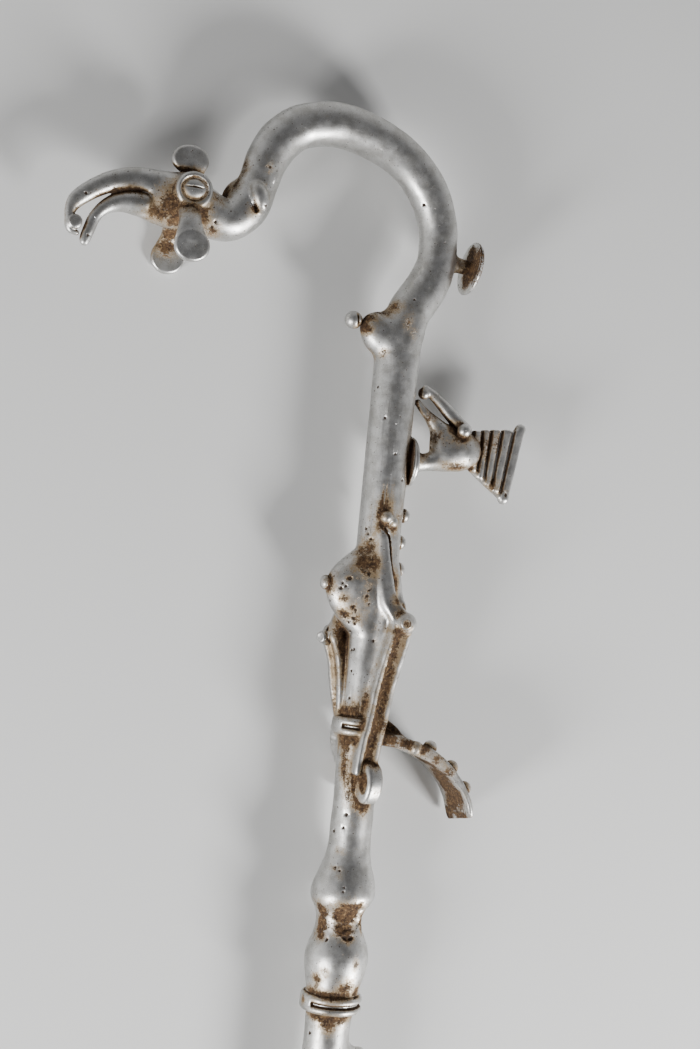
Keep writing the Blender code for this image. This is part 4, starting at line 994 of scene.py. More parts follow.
# Each pit: its place in the staff's frame and its radius, in tenths of a millimetre
PITS = (
    (-157, -1111, 83, 12), (-187, -1136, 71, 8), (-194, -1162, 68, 10), (-172, -1150, 78, 8),
    (-224, -1231, 12, 8), (-128, -1245, 88, 9), (-114, -1263, 94, 8), (-118, -1304, 78, 9),
    (-128, -1327, 55, 8), (-103, -1333, 75, 8), (-98, -1367, 27, 8), (-151, -1304, 53, 8),
    (-95, -1466, 36, 9), (-88, -1460, 52, 9), (-89, -1569, 50, 8), (-86, -1704, 53, 9),
    (-50, -2281, 86, 10), (-87, -2373, 32, 10), (-57, -2347, 81, 8), (-41, -2634, 138, 8),
    (-45, -2654, 142, 8), (-72, -2548, 81, 8), (-57, -2560, 99, 8), (24, -2887, 123, 15),
    (-7, -2886, 122, 12), (-85, -2904, 93, 9), (-107, -3382, 41, 10), (82, -3190, 114, 8),
    (-1654, 578, 32, 9), (-1622, 385, 24, 8), (-808, 648, 105, 8), (-791, 682, 90, 8),
    (-1034, 528, 97, 9), (-1043, 504, 85, 8), (-790, 831, 98, 8), (-100, -150, 44, 8),
    (-63, -302, 89, 9), (3, -474, 108, 8), (35, 778, 66, 9), (-80, -883, 66, 8), (-68, -906, 81, 9),
    (-89, -858, 55, 8), (-70, -1079, 109, 10), (-62, -1158, 113, 8), (-69, -1188, 111, 8),
    (-54, -1227, 111, 8), (229, -419, 1, 8), (661, -613, 18, 10), (-15, -1410, 120, 9),
    (20, 300, 110, 8), (60, -600, 90, 8),
)

pits = np.array(PITS) / 10
pit_places, pit_outs = to_skin(pits[:, :3], times=8, most=1.0)
pit_turns = np.random.default_rng(7).normal(size=(len(pits), 3))
for place, out, radius, turn in zip(pit_places, pit_outs, pits[:, 3], pit_turns):
    along_skin = unit(np.cross(out, turn))
    pellet(place, (out, along_skin, np.cross(out, along_skin)), PIT_HALVES * radius, 0.2, action=carve)
print("pits carved:", len(PITS))

# %% [markdown]
# ## From wax to metal
# Now the field becomes a mesh. Marching cubes would do, but it leaves thin triangles, so we use
# surface nets: one vertex in each grid cell that the skin crosses, at the mean of its crossings, and
# one square for each grid edge with wax at one end only.

# %% Pour the casting
full = wax < 0
count = np.zeros([size - 1 for size in full.shape], np.uint8)
for dx, dy, dz in CORNERS:
    count += full[dx:dx + count.shape[0], dy:dy + count.shape[1], dz:dz + count.shape[2]]
cells = np.array(np.nonzero((count > 0) & (count < 8)))
cell_keys = np.ravel_multi_index(cells, count.shape)
values = [wax[cells[0] + dx, cells[1] + dy, cells[2] + dz] for dx, dy, dz in CORNERS]
crossings = np.zeros((3, cells.shape[1]))
found = np.zeros(cells.shape[1])
for a, first in enumerate(CORNERS):
    for b, second in enumerate(CORNERS):
        if b <= a or sum(abs(p - q) for p, q in zip(first, second)) != 1:
            continue
        crossed = (values[a] < 0) != (values[b] < 0)
        share = np.where(crossed, values[a] / np.where(crossed, values[a] - values[b], 1.0), 0.0)
        for k in range(3):
            crossings[k] += np.where(crossed, first[k] + (second[k] - first[k]) * share, 0.0)
        found += crossed
crossings /= found
skin_points = np.stack([
    GRID[k][cells[k]] + crossings[k] * (GRID[k][cells[k] + 1] - GRID[k][cells[k]]) for k in range(3)
], axis=1)

squares = []
for k in range(3):
    lower = [slice(None)] * 3
    upper = [slice(None)] * 3
    lower[k] = slice(None, -1)
    upper[k] = slice(1, None)
    changes = np.array(np.nonzero(full[tuple(lower)] != full[tuple(upper)]))
    inner = full[tuple(changes)]
    one = (k + 1) % 3
    two = (k + 2) % 3
    edge_cells = []
    for step_one, step_two in ((0, 0), (1, 0), (1, 1), (0, 1)):
        cell = changes.copy()
        cell[one] -= step_one
        cell[two] -= step_two
        edge_cells.append(np.searchsorted(cell_keys, np.ravel_multi_index(cell, count.shape)))
    square = np.stack(edge_cells, axis=1)
    square[~inner] = square[~inner][:, ::-1]
    squares.append(square)
squares = np.concatenate(squares)
print("skin:", len(skin_points), "points and", len(squares), "squares")

# %% [markdown]
# The net is far finer than the staff needs. A Decimate modifier collapses the flat places first and
# keeps the small forms. Then each point slides along the field's slope until it lies on the skin.

# %% Thin the mesh
MOST_TRIANGLES = 192000


def mesh_from(name, points, faces):
    """A Blender mesh from arrays of points and of faces with the same number of corners."""
    mesh = bpy.data.meshes.new(name)
    mesh.vertices.add(len(points))
    mesh.vertices.foreach_set("co", np.ascontiguousarray(points, np.float32).ravel())
    corners = faces.shape[1]
    mesh.loops.add(faces.size)
    mesh.loops.foreach_set("vertex_index", faces.ravel().astype(np.int32))
    mesh.polygons.add(len(faces))
    mesh.polygons.foreach_set("loop_start", (np.arange(len(faces)) * corners).astype(np.int32))
    mesh.update(calc_edges=True)
    mesh.validate()
    return mesh


def put_in_scene(name, data):
    """A new object with this mesh, lamp or camera, in the scene."""
    made = bpy.data.objects.new(name, data)
    bpy.context.scene.collection.objects.link(made)
    return made


mesh = mesh_from("staff_net", skin_points, squares)
staff = put_in_scene("staff_casting", mesh)
thin = staff.modifiers.new("thin", "DECIMATE")
thin.ratio = min(1.0, MOST_TRIANGLES / (2.0 * len(squares)))
thinned = bpy.data.meshes.new_from_object(staff.evaluated_get(bpy.context.evaluated_depsgraph_get()))
staff.modifiers.clear()
staff.data = thinned
bpy.data.meshes.remove(mesh)

points = np.zeros(len(thinned.vertices) * 3, np.float32)
thinned.vertices.foreach_get("co", points)
points = points.reshape(-1, 3).astype(float)
points, _ = to_skin(points)
triangles = sum(len(face.vertices) - 2 for face in thinned.polygons)
print("casting:", len(points), "points and", triangles, "triangles")

# %% [markdown]
# A hand-made surface is never true. We add a very shallow unevenness, about a tenth of a millimetre
# at most, from a few waves in odd directions. Then we measure how closed in every point is. The field
# makes that cheap: on open metal the distance grows as fast as we step away, in a corner it doesn't.

# %% Unevenness and closeness
SWELL_WAVES = (
    (0.23, 0.31, 0.11, 0.7), (-0.19, 0.27, 0.35, 2.1), (0.41, -0.17, 0.22, 4), (0.13, 0.52, -0.37, 1.3),
    (0.62, 0.44, 0.51, 5.2), (-0.55, 0.71, 0.29, 3.4), (0.37, -0.83, 0.66, 0.2),
)
UNEVEN = 0.035
# Flat faces that hands keep clean: each one's centre and size
WIPED_PLACES = (((-116.4, 38.5, 22.5), 10.5), ((-116.0, 85.0, 2.5), 8.5))

direction, _ = slope_at(points, 0.6)
uneven = sum(
    np.sin(points @ np.array(wave[:3]) + wave[3]) / (1 + i * 0.2) for i, wave in enumerate(SWELL_WAVES)
)
points += direction * (uneven * UNEVEN)[:, None]


def closeness(reach):
    """How much of the open space within a reach is missing at each point, from 0 to 1."""
    return np.clip(1.0 - sample(points + direction * reach) / reach, 0.0, 1.0)


fine_hollow = closeness(1.2)
wide_hollow = 0.5 * closeness(3.0) + 0.5 * closeness(5.5)
for place, size in WIPED_PLACES:
    away = np.linalg.norm(points - place, axis=1) / size
    kept = 1.0 - np.clip(2.2 * (1.0 - away), 0.0, 1.0)
    wide_hollow *= kept
    fine_hollow *= kept
# A crest is a point with little metal behind it
CREST_REACH = 1.5
crest = sample(points - direction * CREST_REACH) / CREST_REACH
crest = np.clip(1.25 * (0.8 + crest), 0.0, 1.0)
print("closed-in points:", int((wide_hollow > 0.3).sum()), "and crests:", int((crest > 0.3).sum()))

# %% [markdown]
# Soil also clings where the shape alone doesn't say so: along the beak's inner edge, round the neck's
# root. Other places are painted shade, a dark brown where the staff lies in shadow: on the neck disc's
# dished face and on the web by the far limb. On the cheek behind the beak's root, under the eye and in
# the small bird's throat the brown is partly earth and partly painted shade. Each such place is a point
# of the staff with a half size across and along it. The skin near it carries the brown, thick in the
# middle and thin at the edge.

# %% Places where soil clings, and places of painted shade
# Each place: its point, its half size across and along the staff in tenths of a millimetre, and how
# thick the soil, or at the shaded places the painted shade, is in hundredths
SOIL_AND_SHADE_PLACES = (
    # Beak, cheek, comb and wattles; on the cheek behind the beak's root and under the eye the brown is
    # partly earth and partly painted shade
    (-168, 51, 2, 31, 21, 50), (-159, 58, 2, 31, 21, 50), (-151, 62, 2, 31, 21, 50),
    (-146, 64, 0, 36, 21, 80), (-141, 65, 2, 21, 21, 80), (-139, 60, 4, 36, 26, 45),
    (-126, 58, 9, 56, 72, 105), (-129, 54, 5, 66, 46, 95), (-117, 56, 11, 66, 41, 110),
    (-122, 50, 6, 60, 50, 100), (-111, 54, 10, 50, 46, 95), (-123, 66, 10, 36, 50, 70),
    (-109, 57, 11, 41, 31, 80), (-103, 64, 8, 31, 41, 50), (-104, 49, 7, 36, 51, 75),
    (-102, 51, 9, 21, 31, 50), (-113, 75, 4, 56, 26, 75), (-119, 77, 3, 31, 15, 50),
    (-123, 51, -9, 46, 41, 120), (-119, 47, -13, 46, 41, 145), (-119, 41, -17, 50, 41, 120),
    (-119, 37, -18, 46, 31, 70), (-118, 55, 13, 41, 31, 70), (-108, 49, 7, 21, 51, 70),
    # The bend behind the head, the spur and the neck disc; the disc's last two are painted shade over
    # its dished faces
    (-96, 71, -7, 46, 41, 100), (-92, 74, 1, 36, 46, 90), (-90, 82, 2, 41, 62, 65),
    (-85, 63, 10, 26, 36, 100), (-79, 83, 10, 21, 46, 45), (-18, 19, 4, 41, 31, 90),
    (-19, 13, 4, 41, 31, 90), (-14, 7, -2, 31, 51, 85), (-9, 2, 6, 26, 26, 50), (-5, 26, 5, 46, 26, 85),
    (-12, 22, 4, 62, 21, 60), (0, 18, 11, 26, 46, 75), (3, 13, 11, 26, 31, 70),
    (-2, -9, 11, 31, 51, 25), (36, 51, 9, 66, 140, 150), (36, 51, -1, 66, 150, 150),
    # The small bird and its fan; in its throat under the beak the brown is partly earth and partly
    # painted shade
    (24, -36, 3, 67, 46, 70), (18, -46, 3, 26, 31, 80), (32, -32, 4, 26, 36, 90),
    (36, -37, 7, 46, 26, 75), (36, -50, 5, 77, 26, 80), (45, -49, 2, 26, 41, 75),
    (45, -36, 4, 26, 51, 60), (21, -25, 2, 41, 72, 60), (49, -41, 3, 26, 113, 60),
    (53, -38, 2, 31, 92, 75), (58, -36, 2, 36, 82, 70), (59, -57, 1, 46, 41, 75),
    (66, -60, 2, 21, 26, 60), (65, -43, 2, 36, 123, 35),
    # Shoulder, chest and belly
    (-4, -77, 10, 36, 46, 95), (-2, -84, 11, 41, 31, 95), (3, -84, 10, 31, 26, 70),
    (7, -78, 8, 21, 46, 60), (-8, -88, 6, 21, 62, 45), (-11, -96, 6, 41, 46, 85),
    (-7, -95, 8, 36, 46, 90), (-10, -102, 9, 46, 51, 115), (-5, -102, 11, 31, 51, 95),
    (-9, -107, 11, 31, 26, 70), (-7, -116, 11, 15, 92, 40), (-25, -114, 3, 26, 56, 50),
    (-16, -111, 8, 15, 10, 80), (-17, -121, 8, 26, 21, 60), (-13, -125, 9, 26, 21, 50),
    (-16, -129, 5, 41, 31, 90), (-15, -133, -1, 26, 31, 80), (-11, -131, 8, 31, 31, 55),
    (-8, -134, 8, 21, 41, 45),
    # The two limbs and the hand; the first four are painted shade on the web that fills the gap by the
    # far limb
    (-14, -139, -3, 38, 56, 120), (-13, -147, -3, 38, 66, 115), (-12, -157, -3, 33, 62, 95),
    (-11, -167, -4, 26, 62, 45), (7, -113, 10, 21, 62, 110), (7, -120, 16, 26, 31, 90),
    (8, -126, 17, 31, 26, 60), (9, -130, 21, 21, 21, 35), (9, -135, 19, 41, 26, 95),
    (2, -126, 11, 15, 41, 35), (9, -140, 18, 34, 51, 135), (8, -148, 17, 33, 51, 135),
    (7, -155, 15, 32, 51, 130), (6, -162, 14, 32, 51, 130), (5, -169, 14, 31, 51, 125),
    (4, -175, 14, 31, 51, 125), (3, -183, 14, 28, 51, 115), (2, -190, 14, 28, 51, 120),
    (1, -198, 14, 26, 46, 110), (0, -210, 13, 21, 46, 110), (-2, -210, 12, 15, 51, 55),
    (4, -202, 16, 31, 21, 80), (6, -215, 19, 21, 21, 50),
    # Waist, and the shaft below it
    (-8, -177, 6, 72, 31, 100), (-3, -173, 10, 41, 41, 85), (-2, -167, 10, 26, 36, 50),
    (-3, -182, 13, 26, 41, 85), (-9, -190, 5, 51, 26, 90), (-4, -190, 9, 31, 41, 100),
    (-8, -197, 6, 28, 46, 90), (-8, -204, 6, 28, 51, 90), (-7, -210, 7, 31, 41, 85),
    (-6, -213, 8, 24, 36, 95), (-5, -220, 8, 24, 36, 75), (-4, -202, 9, 15, 92, 90),
    (-3, -213, 9, 21, 72, 90), (-2, -222, 10, 46, 31, 90), (3, -225, 10, 36, 36, 70),
    (0, -229, 10, 36, 46, 30),
    # The strap
    (13, -189, 13, 56, 36, 120), (20, -190, 15, 56, 36, 110), (8, -182, 15, 36, 41, 90),
    (15, -184, 8, 60, 40, 120), (25, -189, 8, 70, 40, 85), (35, -193, 6, 70, 40, 80),
    (30, -192, 17, 46, 36, 105), (37, -197, 17, 46, 36, 95), (44, -203, 17, 46, 36, 90),
    (46, -203, 6, 70, 60, 100), (53, -210, 6, 70, 60, 100), (59, -220, 6, 60, 80, 95),
    (55, -218, 0, 90, 90, 130), (48, -211, 2, 90, 80, 130), (58, -227, 2, 80, 50, 120),
    (36, -201, 2, 120, 50, 140), (44, -207, 2, 120, 62, 150), (50, -213, -4, 100, 90, 160),
    (53, -216, 8, 76, 80, 150), (56, -222, -4, 90, 80, 150), (57, -226, 8, 65, 60, 130),
    (59, -228, -12, 70, 50, 150), (28, -196, 8, 90, 40, 130), (16, -193, 8, 80, 40, 130),
    # Bulbs and collar
    (-7, -255, 9, 31, 15, 65), (-5, -258, 11, 21, 26, 55), (-7, -246, 8, 26, 18, 55),
    (-1, -277, 13, 72, 62, 160), (2, -273, 14, 46, 31, 150), (-1, -285, 11, 56, 41, 150),
    (1, -289, 12, 36, 21, 120), (-10, -276, 5, 44, 46, 155), (-10, -284, 4, 42, 56, 155),
    (-11, -289, 6, 31, 30, 110), (9, -281, 8, 20, 60, 110), (6, -301, 15, 16, 36, 75),
    (-11, -310, 8, 26, 30, 85), (-9, -306, 12, 24, 24, 65), (-10, -314, 7, 26, 21, 70),
    (2, -313, 13, 48, 38, 98), (-4, -318, 11, 77, 26, 105), (-11, -317, 4, 31, 26, 80),
    (9, -315, 10, 26, 36, 85), (-15, -322, 2, 15, 21, 95), (-3, -329, 11, 87, 26, 105),
    (-4, -333, 11, 51, 36, 85), (3, -331, 11, 41, 26, 70), (-10, -330, 6, 26, 21, 70),
)

print("soil places:", len(SOIL_AND_SHADE_PLACES))

# %% [markdown]
# Each point of the skin takes the thickest soil that any place gives it, and painted shade where the
# place stands for shade. A wider and weaker spread of the same places gives the warm stain round them, a
# painted shade round the shaded places, and the carved pits are marked as well.

# %% Spread the soil and the painted shade
SOIL_AND_SHADE_REACH = 1.35
soil_and_shade = np.zeros(len(points))
warmth_and_shade = np.zeros(len(points))
# Where a place stands for shade, the soil and the warm spread round it are painted shade
for *place, across, down, thick in SOIL_AND_SHADE_PLACES:
    halves = np.array((across, down, across)) / 10
    away = np.linalg.norm((points - place) / halves, axis=1)
    soil_and_shade = np.maximum(soil_and_shade, thick / 100 * np.clip(SOIL_AND_SHADE_REACH - away, 0.0, 1.0))
    warmth_and_shade = np.maximum(warmth_and_shade, min(thick / 100, 0.95) * np.clip(SOIL_AND_SHADE_REACH - away * 0.6, 0.0, 1.0))
pit = np.zeros(len(points))
for place, radius in zip(pit_places, pits[:, 3]):
    away = np.linalg.norm(points - place, axis=1) / radius
    pit = np.maximum(pit, np.clip(2.1 - 1.5 * away, 0.0, 1.0))

# The mesh keeps these numbers for each point, where the material can read them
for name, numbers in (
    ("soil_and_shade", soil_and_shade), ("warmth_and_shade", warmth_and_shade), ("pit", pit), ("fine_hollow", fine_hollow),
    ("wide_hollow", wide_hollow), ("crest", crest),
):
    layer = thinned.attributes.new(name, "FLOAT", "POINT")
    layer.data.foreach_set("value", np.ascontiguousarray(numbers, np.float32))
print("points with soil:", int((soil_and_shade > 0.3).sum()), "and in pits:", int((pit > 0.5).sum()))

# %% [markdown]
# The points are still in the staff's own frame, in millimetres. We turn them on to the floor and
# give the finished mesh to the object. It takes the place of the CAD solid of the same form.

# %% Lay the casting down
lay_down = Matrix.Translation(LIE_PLACE) @ Matrix.Rotation(LIE_TILT, 4, "X")
turn = np.array(lay_down.to_3x3())
points = points / 1000 @ turn.T + np.array(LIE_PLACE)
points = np.clip(points, cad_box[0], cad_box[1])
thinned.vertices.foreach_set("co", np.ascontiguousarray(points, np.float32).ravel())
thinned.name = "staff_casting"
thinned.shade_smooth()
thinned.update()
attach(staff, "root")
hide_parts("staff")
print("lowest point:", round(float(points[:, 2].min()) * 1000, 3), "mm")

# %% [markdown]
# ## The metal
# The staff is a white, silver-coloured casting that is worn satin, with small pits, fine scratches
# and brown earth in the recesses. One Principled shader does both, because a mask can move every
# socket from metal to earth at once. First some small helpers, so that the recipe reads as a list.

# %% Nodes and sums
material = bpy.data.materials.new("worn_cast_metal")
material.use_nodes = True
tree = material.node_tree
shader = tree.nodes["Principled BSDF"]


def node(kind, home=tree, **settings):
    """A new node with its settings."""
    made = home.nodes.new(kind)
    for name, value in settings.items():
        setattr(made, name, value)
    return made


def plug(value, socket):
    """Links an output to a socket, or sets the socket to a value."""
    if isinstance(value, bpy.types.NodeSocket):
        socket.id_data.links.new(value, socket)
    else:
        socket.default_value = value


def maths(operation, first, second, clamp=False):
    made = node("ShaderNodeMath", operation=operation, use_clamp=clamp)
    plug(first, made.inputs[0])
    plug(second, made.inputs[1])
    return made.outputs[0]


def times(value, weight):
    return maths("MULTIPLY", value, weight)


def total(*values):
    """The sum of two or more outputs."""
    result = values[0]
    for value in values[1:]:
        result = maths("ADD", result, value)
    return result


print("material:", material.name)

# %% [markdown]
# A texture has to be as large on the staff as in the hand, so it is measured in millimetres. The
# mesh carries its own numbers too, which a bake or an export keeps.

# %% Textures and mixes


def swing(texture, width):
    """A texture that goes up and down about 0, so that it breaks a sum up and keeps its mean."""
    return times(maths("SUBTRACT", texture, 0.5), width)


def spread(value, low, high, to_low=0.0, to_high=1.0, smoothly=True):
    """Stretches a range of numbers to another range, and holds it there."""
    made = node("ShaderNodeMapRange", interpolation_type="SMOOTHSTEP" if smoothly else "LINEAR")
    for socket, number in zip(made.inputs, (value, low, high, to_low, to_high)):
        plug(number, socket)
    return made.outputs[0]


def blend(share, first, second, kind="RGBA"):
    """A mix of two colours, or of two numbers with kind FLOAT."""
    made = node("ShaderNodeMix", data_type=kind)
    sockets = [socket for socket in made.inputs if socket.enabled]
    for value, socket in zip((share, first, second), sockets):
        plug(value, socket)
    return [socket for socket in made.outputs if socket.enabled][0]


def noise(scale, detail, roughness, stretch=(1.0, 1.0, 1.0), turn=(0.0, 0.0, 0.0)):
    """Noise with so many lumps in a millimetre."""
    mapping = node("ShaderNodeMapping")
    made = node("ShaderNodeTexNoise")
    for value, socket in (
        (in_mm, mapping.inputs["Vector"]), (stretch, mapping.inputs["Scale"]),
        (turn, mapping.inputs["Rotation"]), (mapping.outputs[0], made.inputs["Vector"]),
        (scale, made.inputs["Scale"]), (detail, made.inputs["Detail"]),
        (roughness, made.inputs["Roughness"]),
    ):
        plug(value, socket)
    return made.outputs["Fac"]


def measured(name):
    """The number that the mesh carries at each point."""
    return node("ShaderNodeAttribute", attribute_name=name).outputs["Fac"]


to_mm = node("ShaderNodeVectorMath", operation="SCALE")
plug(node("ShaderNodeTexCoord").outputs["Object"], to_mm.inputs[0])
plug(1000.0, to_mm.inputs["Scale"])
in_mm = to_mm.outputs[0]
print("nodes so far:", len(tree.nodes))

# %% [markdown]
# The soil mask adds three things: how closed in the metal is, the named places, and noise that breaks
# both up. Where a named place stands for shade, the mask is painted shade there. Coarse lumps and fine
# crumbs together leave small glints of metal inside the crust. Nearly the same sum, over a wider range,
# gives the stain, a warm tint that reaches further, and round the shaded places a painted shade.

# %% Where the earth and the painted shade stay
crumbs = noise(1.5, 3.0, 0.7)
crumble = noise(0.42, 5.0, 0.68)
patches = noise(0.09, 2.0, 0.5)
close = total(
    times(measured("wide_hollow"), 0.95), times(measured("fine_hollow"), 0.55),
    times(measured("crest"), -0.65), swing(patches, 0.4),
)
# At the places that stand for shade, this crust is painted shade
crust_and_shade = total(close, times(measured("soil_and_shade"), 0.86), swing(crumble, 1.1), swing(crumbs, 1.3))
earth_and_shade = spread(crust_and_shade, 0.44, 0.72)
tint_and_shade = total(
    times(close, 1.1), times(measured("warmth_and_shade"), 0.72), swing(crumble, 0.9), swing(crumbs, 0.8),
    times(measured("crest"), -0.5),
)
stain_and_shade = spread(tint_and_shade, 0.12, 0.72)
print("earth mask ready, with", len(tree.nodes), "nodes so far")

# %% [markdown]
# The finer pits are only in the material. A Voronoi texture gives one cell in each place, and we keep
# only some of them, of uneven size, with noise in their edge. A finer set crowds where soil clings and
# where shade is painted, and the carved pits are darkened too. The dark brown of all pits is partly
# earth in the holes and partly painted shade of their depth. Scratches are noise stretched far along one
# direction.

# %% Pits and scratches


def holes(scale, rare, size, push=0.0):
    """Uneven small holes, only in cells whose random number, with `push`, is above `rare`."""
    hole_cells = node("ShaderNodeTexVoronoi")
    plug(in_mm, hole_cells.inputs["Vector"])
    plug(scale, hole_cells.inputs["Scale"])
    chosen = node("ShaderNodeSeparateColor")
    plug(hole_cells.outputs["Color"], chosen.inputs[0])
    hole_size = spread(total(chosen.outputs[0], push), rare, 1.0, 0.0, size, smoothly=False)
    away = total(hole_cells.outputs["Distance"], swing(crumbs, 0.35))
    return spread(maths("SUBTRACT", away, hole_size), 0.0, -0.06)


# The carved pits get the same dark brown: partly earth, partly painted shade of their depth
carved = spread(total(measured("pit"), swing(crumbs, 1.6)), 0.5, 0.85)
pitted = maths("MAXIMUM", holes(0.34, 0.62, 0.18), carved)
pitted = maths("MAXIMUM", pitted, holes(0.85, 0.80, 0.30, times(measured("warmth_and_shade"), 0.28)))
scratches = total(
    noise(0.9, 2.0, 0.5, stretch=(1.0, 0.04, 1.0), turn=(0.0, 0.0, 0.5)),
    noise(1.1, 2.0, 0.5, stretch=(0.05, 1.0, 1.0), turn=(0.3, 0.0, 0.9)),
)
grain = noise(2.2, 3.0, 0.6)
print("pits and scratches ready, with", len(tree.nodes), "nodes so far")

# %% [markdown]
# The metal is a neutral grey with slow changes of tone, and warm where it is stained; round the places
# that stand for shade, that warm darkening is painted shade. The earth goes from dark brown to ochre,
# and deep in the hollows it turns darker still, which is painted shade. Metal is smooth and metallic,
# earth is rough and not metallic.

# %% Colours and finish
METAL_LIGHT = (0.66, 0.655, 0.64, 1.0)
METAL_DARK = (0.47, 0.46, 0.435, 1.0)
# The stained colour is also painted shade round the places that stand for shade
METAL_STAIN_AND_SHADE = (0.32, 0.22, 0.11, 1.0)
# The darkest earth is also the painted shade deep in the hollows
DARK_EARTH_AND_SHADE = (0.034, 0.018, 0.010, 1.0)
EARTH_BROWN = (0.098, 0.054, 0.025, 1.0)
EARTH_OCHRE = (0.24, 0.15, 0.072, 1.0)
# The dark brown in the pits is partly earth and partly painted shade of their depth
PIT_EARTH_AND_SHADE = (0.04, 0.025, 0.016, 1.0)
EARTH_ROUGHNESS = 0.88
BUMP_HEIGHT = 0.00035

mottle = total(noise(0.17, 4.0, 0.6), swing(grain, 0.8))
metal_colour = blend(spread(mottle, 0.30, 0.68), METAL_DARK, METAL_LIGHT)
metal_colour = blend(times(stain_and_shade, 0.88), metal_colour, METAL_STAIN_AND_SHADE)
earth_and_shade_colour = blend(spread(noise(0.40, 5.0, 0.72), 0.40, 0.60), DARK_EARTH_AND_SHADE, EARTH_BROWN)
earth_and_shade_colour = blend(spread(noise(0.75, 4.0, 0.7), 0.50, 0.68), earth_and_shade_colour, EARTH_OCHRE)
# Painted shade: deep in the hollows the earth turns to its darkest brown
shade_in_hollows = spread(measured("wide_hollow"), 0.35, 0.85, 0.0, 0.6)
earth_and_shade_colour = blend(shade_in_hollows, earth_and_shade_colour, DARK_EARTH_AND_SHADE)
colour = blend(pitted, blend(earth_and_shade, metal_colour, earth_and_shade_colour), PIT_EARTH_AND_SHADE)

dirt_and_shade = maths("MAXIMUM", earth_and_shade, times(pitted, 0.95))
clean = maths("SUBTRACT", 1.0, dirt_and_shade, clamp=True)
metallic = times(clean, spread(stain_and_shade, 0.2, 1.0, 1.0, 0.7))
satin = total(spread(noise(0.22, 4.0, 0.6), 0.3, 0.7, 0.34, 0.43), times(stain_and_shade, 0.14))
roughness = blend(dirt_and_shade, satin, EARTH_ROUGHNESS, "FLOAT")

relief = total(
    times(scratches, 0.10), times(grain, 0.16), times(pitted, -0.25),
    times(earth_and_shade, total(crumble, crumbs)),
)
bump = node("ShaderNodeBump")
for value, socket in (
    (0.55, bump.inputs["Strength"]), (BUMP_HEIGHT, bump.inputs["Distance"]),
    (relief, bump.inputs["Height"]), (bump.outputs[0], shader.inputs["Normal"]),
    (colour, shader.inputs["Base Color"]), (metallic, shader.inputs["Metallic"]),
    (roughness, shader.inputs["Roughness"]), (0.25, shader.inputs["Specular IOR Level"]),
):
    plug(value, socket)
staff.data.materials.append(material)
print("nodes in the material:", len(tree.nodes))

# %% [markdown]
# ## Floor, light and camera
# The floor is plain and pale. The sky is a soft tent that is darker overhead and bright low down,
# so a round tube shows a dark streak between two light sides. Two soft lamps give the highlights,
# both near the foot's end: the strong one on the back's side, the weak one on the front's.

# %% Floor and light
FLOOR_HALF = 3
SKY_LOW = (0.78, 0.78, 0.78, 1.0)
SKY_HIGH = (0.14, 0.14, 0.145, 1.0)
LAMP_AIM = Vector((0.0, 0.3, 0.02))
LAMP_SIZE = 0.35

floor_mesh = bpy.data.meshes.new("floor")
corners = [(-1, -1), (1, -1), (1, 1), (-1, 1)]
floor_mesh.from_pydata([(x * FLOOR_HALF, y * FLOOR_HALF, 0) for x, y in corners], [], [(0, 1, 2, 3)])
floor = put_in_scene("floor", floor_mesh)
floor_paint = bpy.data.materials.new("pale_floor")
floor_paint.use_nodes = True
floor_shader = floor_paint.node_tree.nodes["Principled BSDF"]
plug((0.74, 0.74, 0.73, 1.0), floor_shader.inputs["Base Color"])
plug(0.9, floor_shader.inputs["Roughness"])
floor_mesh.materials.append(floor_paint)
floor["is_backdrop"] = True

world = bpy.data.worlds.new("studio")
bpy.context.scene.world = world
world.use_nodes = True
sky = world.node_tree
split = node("ShaderNodeSeparateXYZ", sky)
ramp = node("ShaderNodeValToRGB", sky)
for stop, height, colour in zip(ramp.color_ramp.elements, (0.05, 0.82), (SKY_LOW, SKY_HIGH)):
    stop.position = height
    stop.color = colour
plug(node("ShaderNodeTexCoord", sky).outputs["Generated"], split.inputs[0])
plug(split.outputs["Z"], ramp.inputs[0])
plug(ramp.outputs[0], sky.nodes["Background"].inputs["Color"])
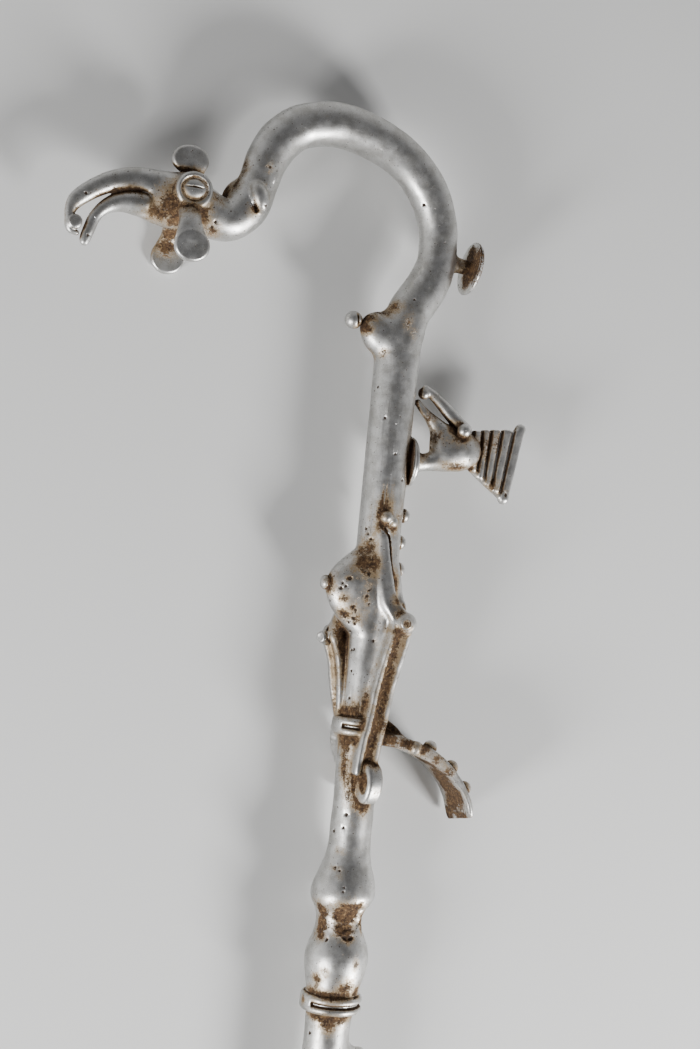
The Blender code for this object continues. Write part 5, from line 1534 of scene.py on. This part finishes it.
plug(0.8, sky.nodes["Background"].inputs["Strength"])

for name, place, power in (("key", (0.95, -0.55, 0.65), 31.0), ("fill", (-0.95, -0.35, 0.5), 18.0)):
    light = bpy.data.lights.new(name, "AREA")
    light.shape = "SQUARE"
    light.size = LAMP_SIZE
    light.energy = power
    lamp = put_in_scene(name, light)
    lamp.location = place
    lamp.rotation_euler = (LAMP_AIM - Vector(place)).to_track_quat("-Z", "Y").to_euler()
    print("lamp:", name, power, "W")

# %% [markdown]
# The camera looks down on the lying staff as the photograph looks at the standing one: a little
# from the front, close, and rolled so that the staff leans to the right.

# %% Camera
CAMERA_SWING = math.radians(20.0)
CAMERA_ROLL = math.radians(5.92)
CAMERA_AWAY = 0.960
CAMERA_TARGET = Vector((-0.01562, -0.0845, 0.0))
FIELD_OF_VIEW = 2 * math.atan(524.5 / 1925.0)

back = Vector((-math.sin(CAMERA_SWING), 0.0, math.cos(CAMERA_SWING)))
level = Vector((math.cos(CAMERA_SWING), 0.0, math.sin(CAMERA_SWING)))
upright = Vector((0.0, 1.0, 0.0))
right = level * math.cos(CAMERA_ROLL) + upright * math.sin(CAMERA_ROLL)
above = upright * math.cos(CAMERA_ROLL) - level * math.sin(CAMERA_ROLL)
basis = Matrix((right, above, back)).transposed().to_4x4()
camera = put_in_scene("camera", bpy.data.cameras.new("camera"))
camera.matrix_world = lay_down @ Matrix.Translation(CAMERA_TARGET + back * CAMERA_AWAY) @ basis
camera.data.sensor_fit = "VERTICAL"
camera.data.angle = FIELD_OF_VIEW
camera.data.clip_start = 0.01
bpy.context.scene.camera = camera
print("camera stands", round(camera.location.z, 3), "m over the floor")

# %% [markdown]
# ## Check the size and finish
# The casting is clipped to the box of the CAD model when it is laid down, and here we print how far the
# two boxes differ.

# %% Sizes, and the end
visual_box = [[float(value) for value in corner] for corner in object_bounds()]
for k in range(3):
    low, high = (round((visual_box[i][k] - cad_box[i][k]) * 1000, 2) for i in range(2))
    print("XYZ"[k], "visual minus CAD, low and high, in mm:", low, high)
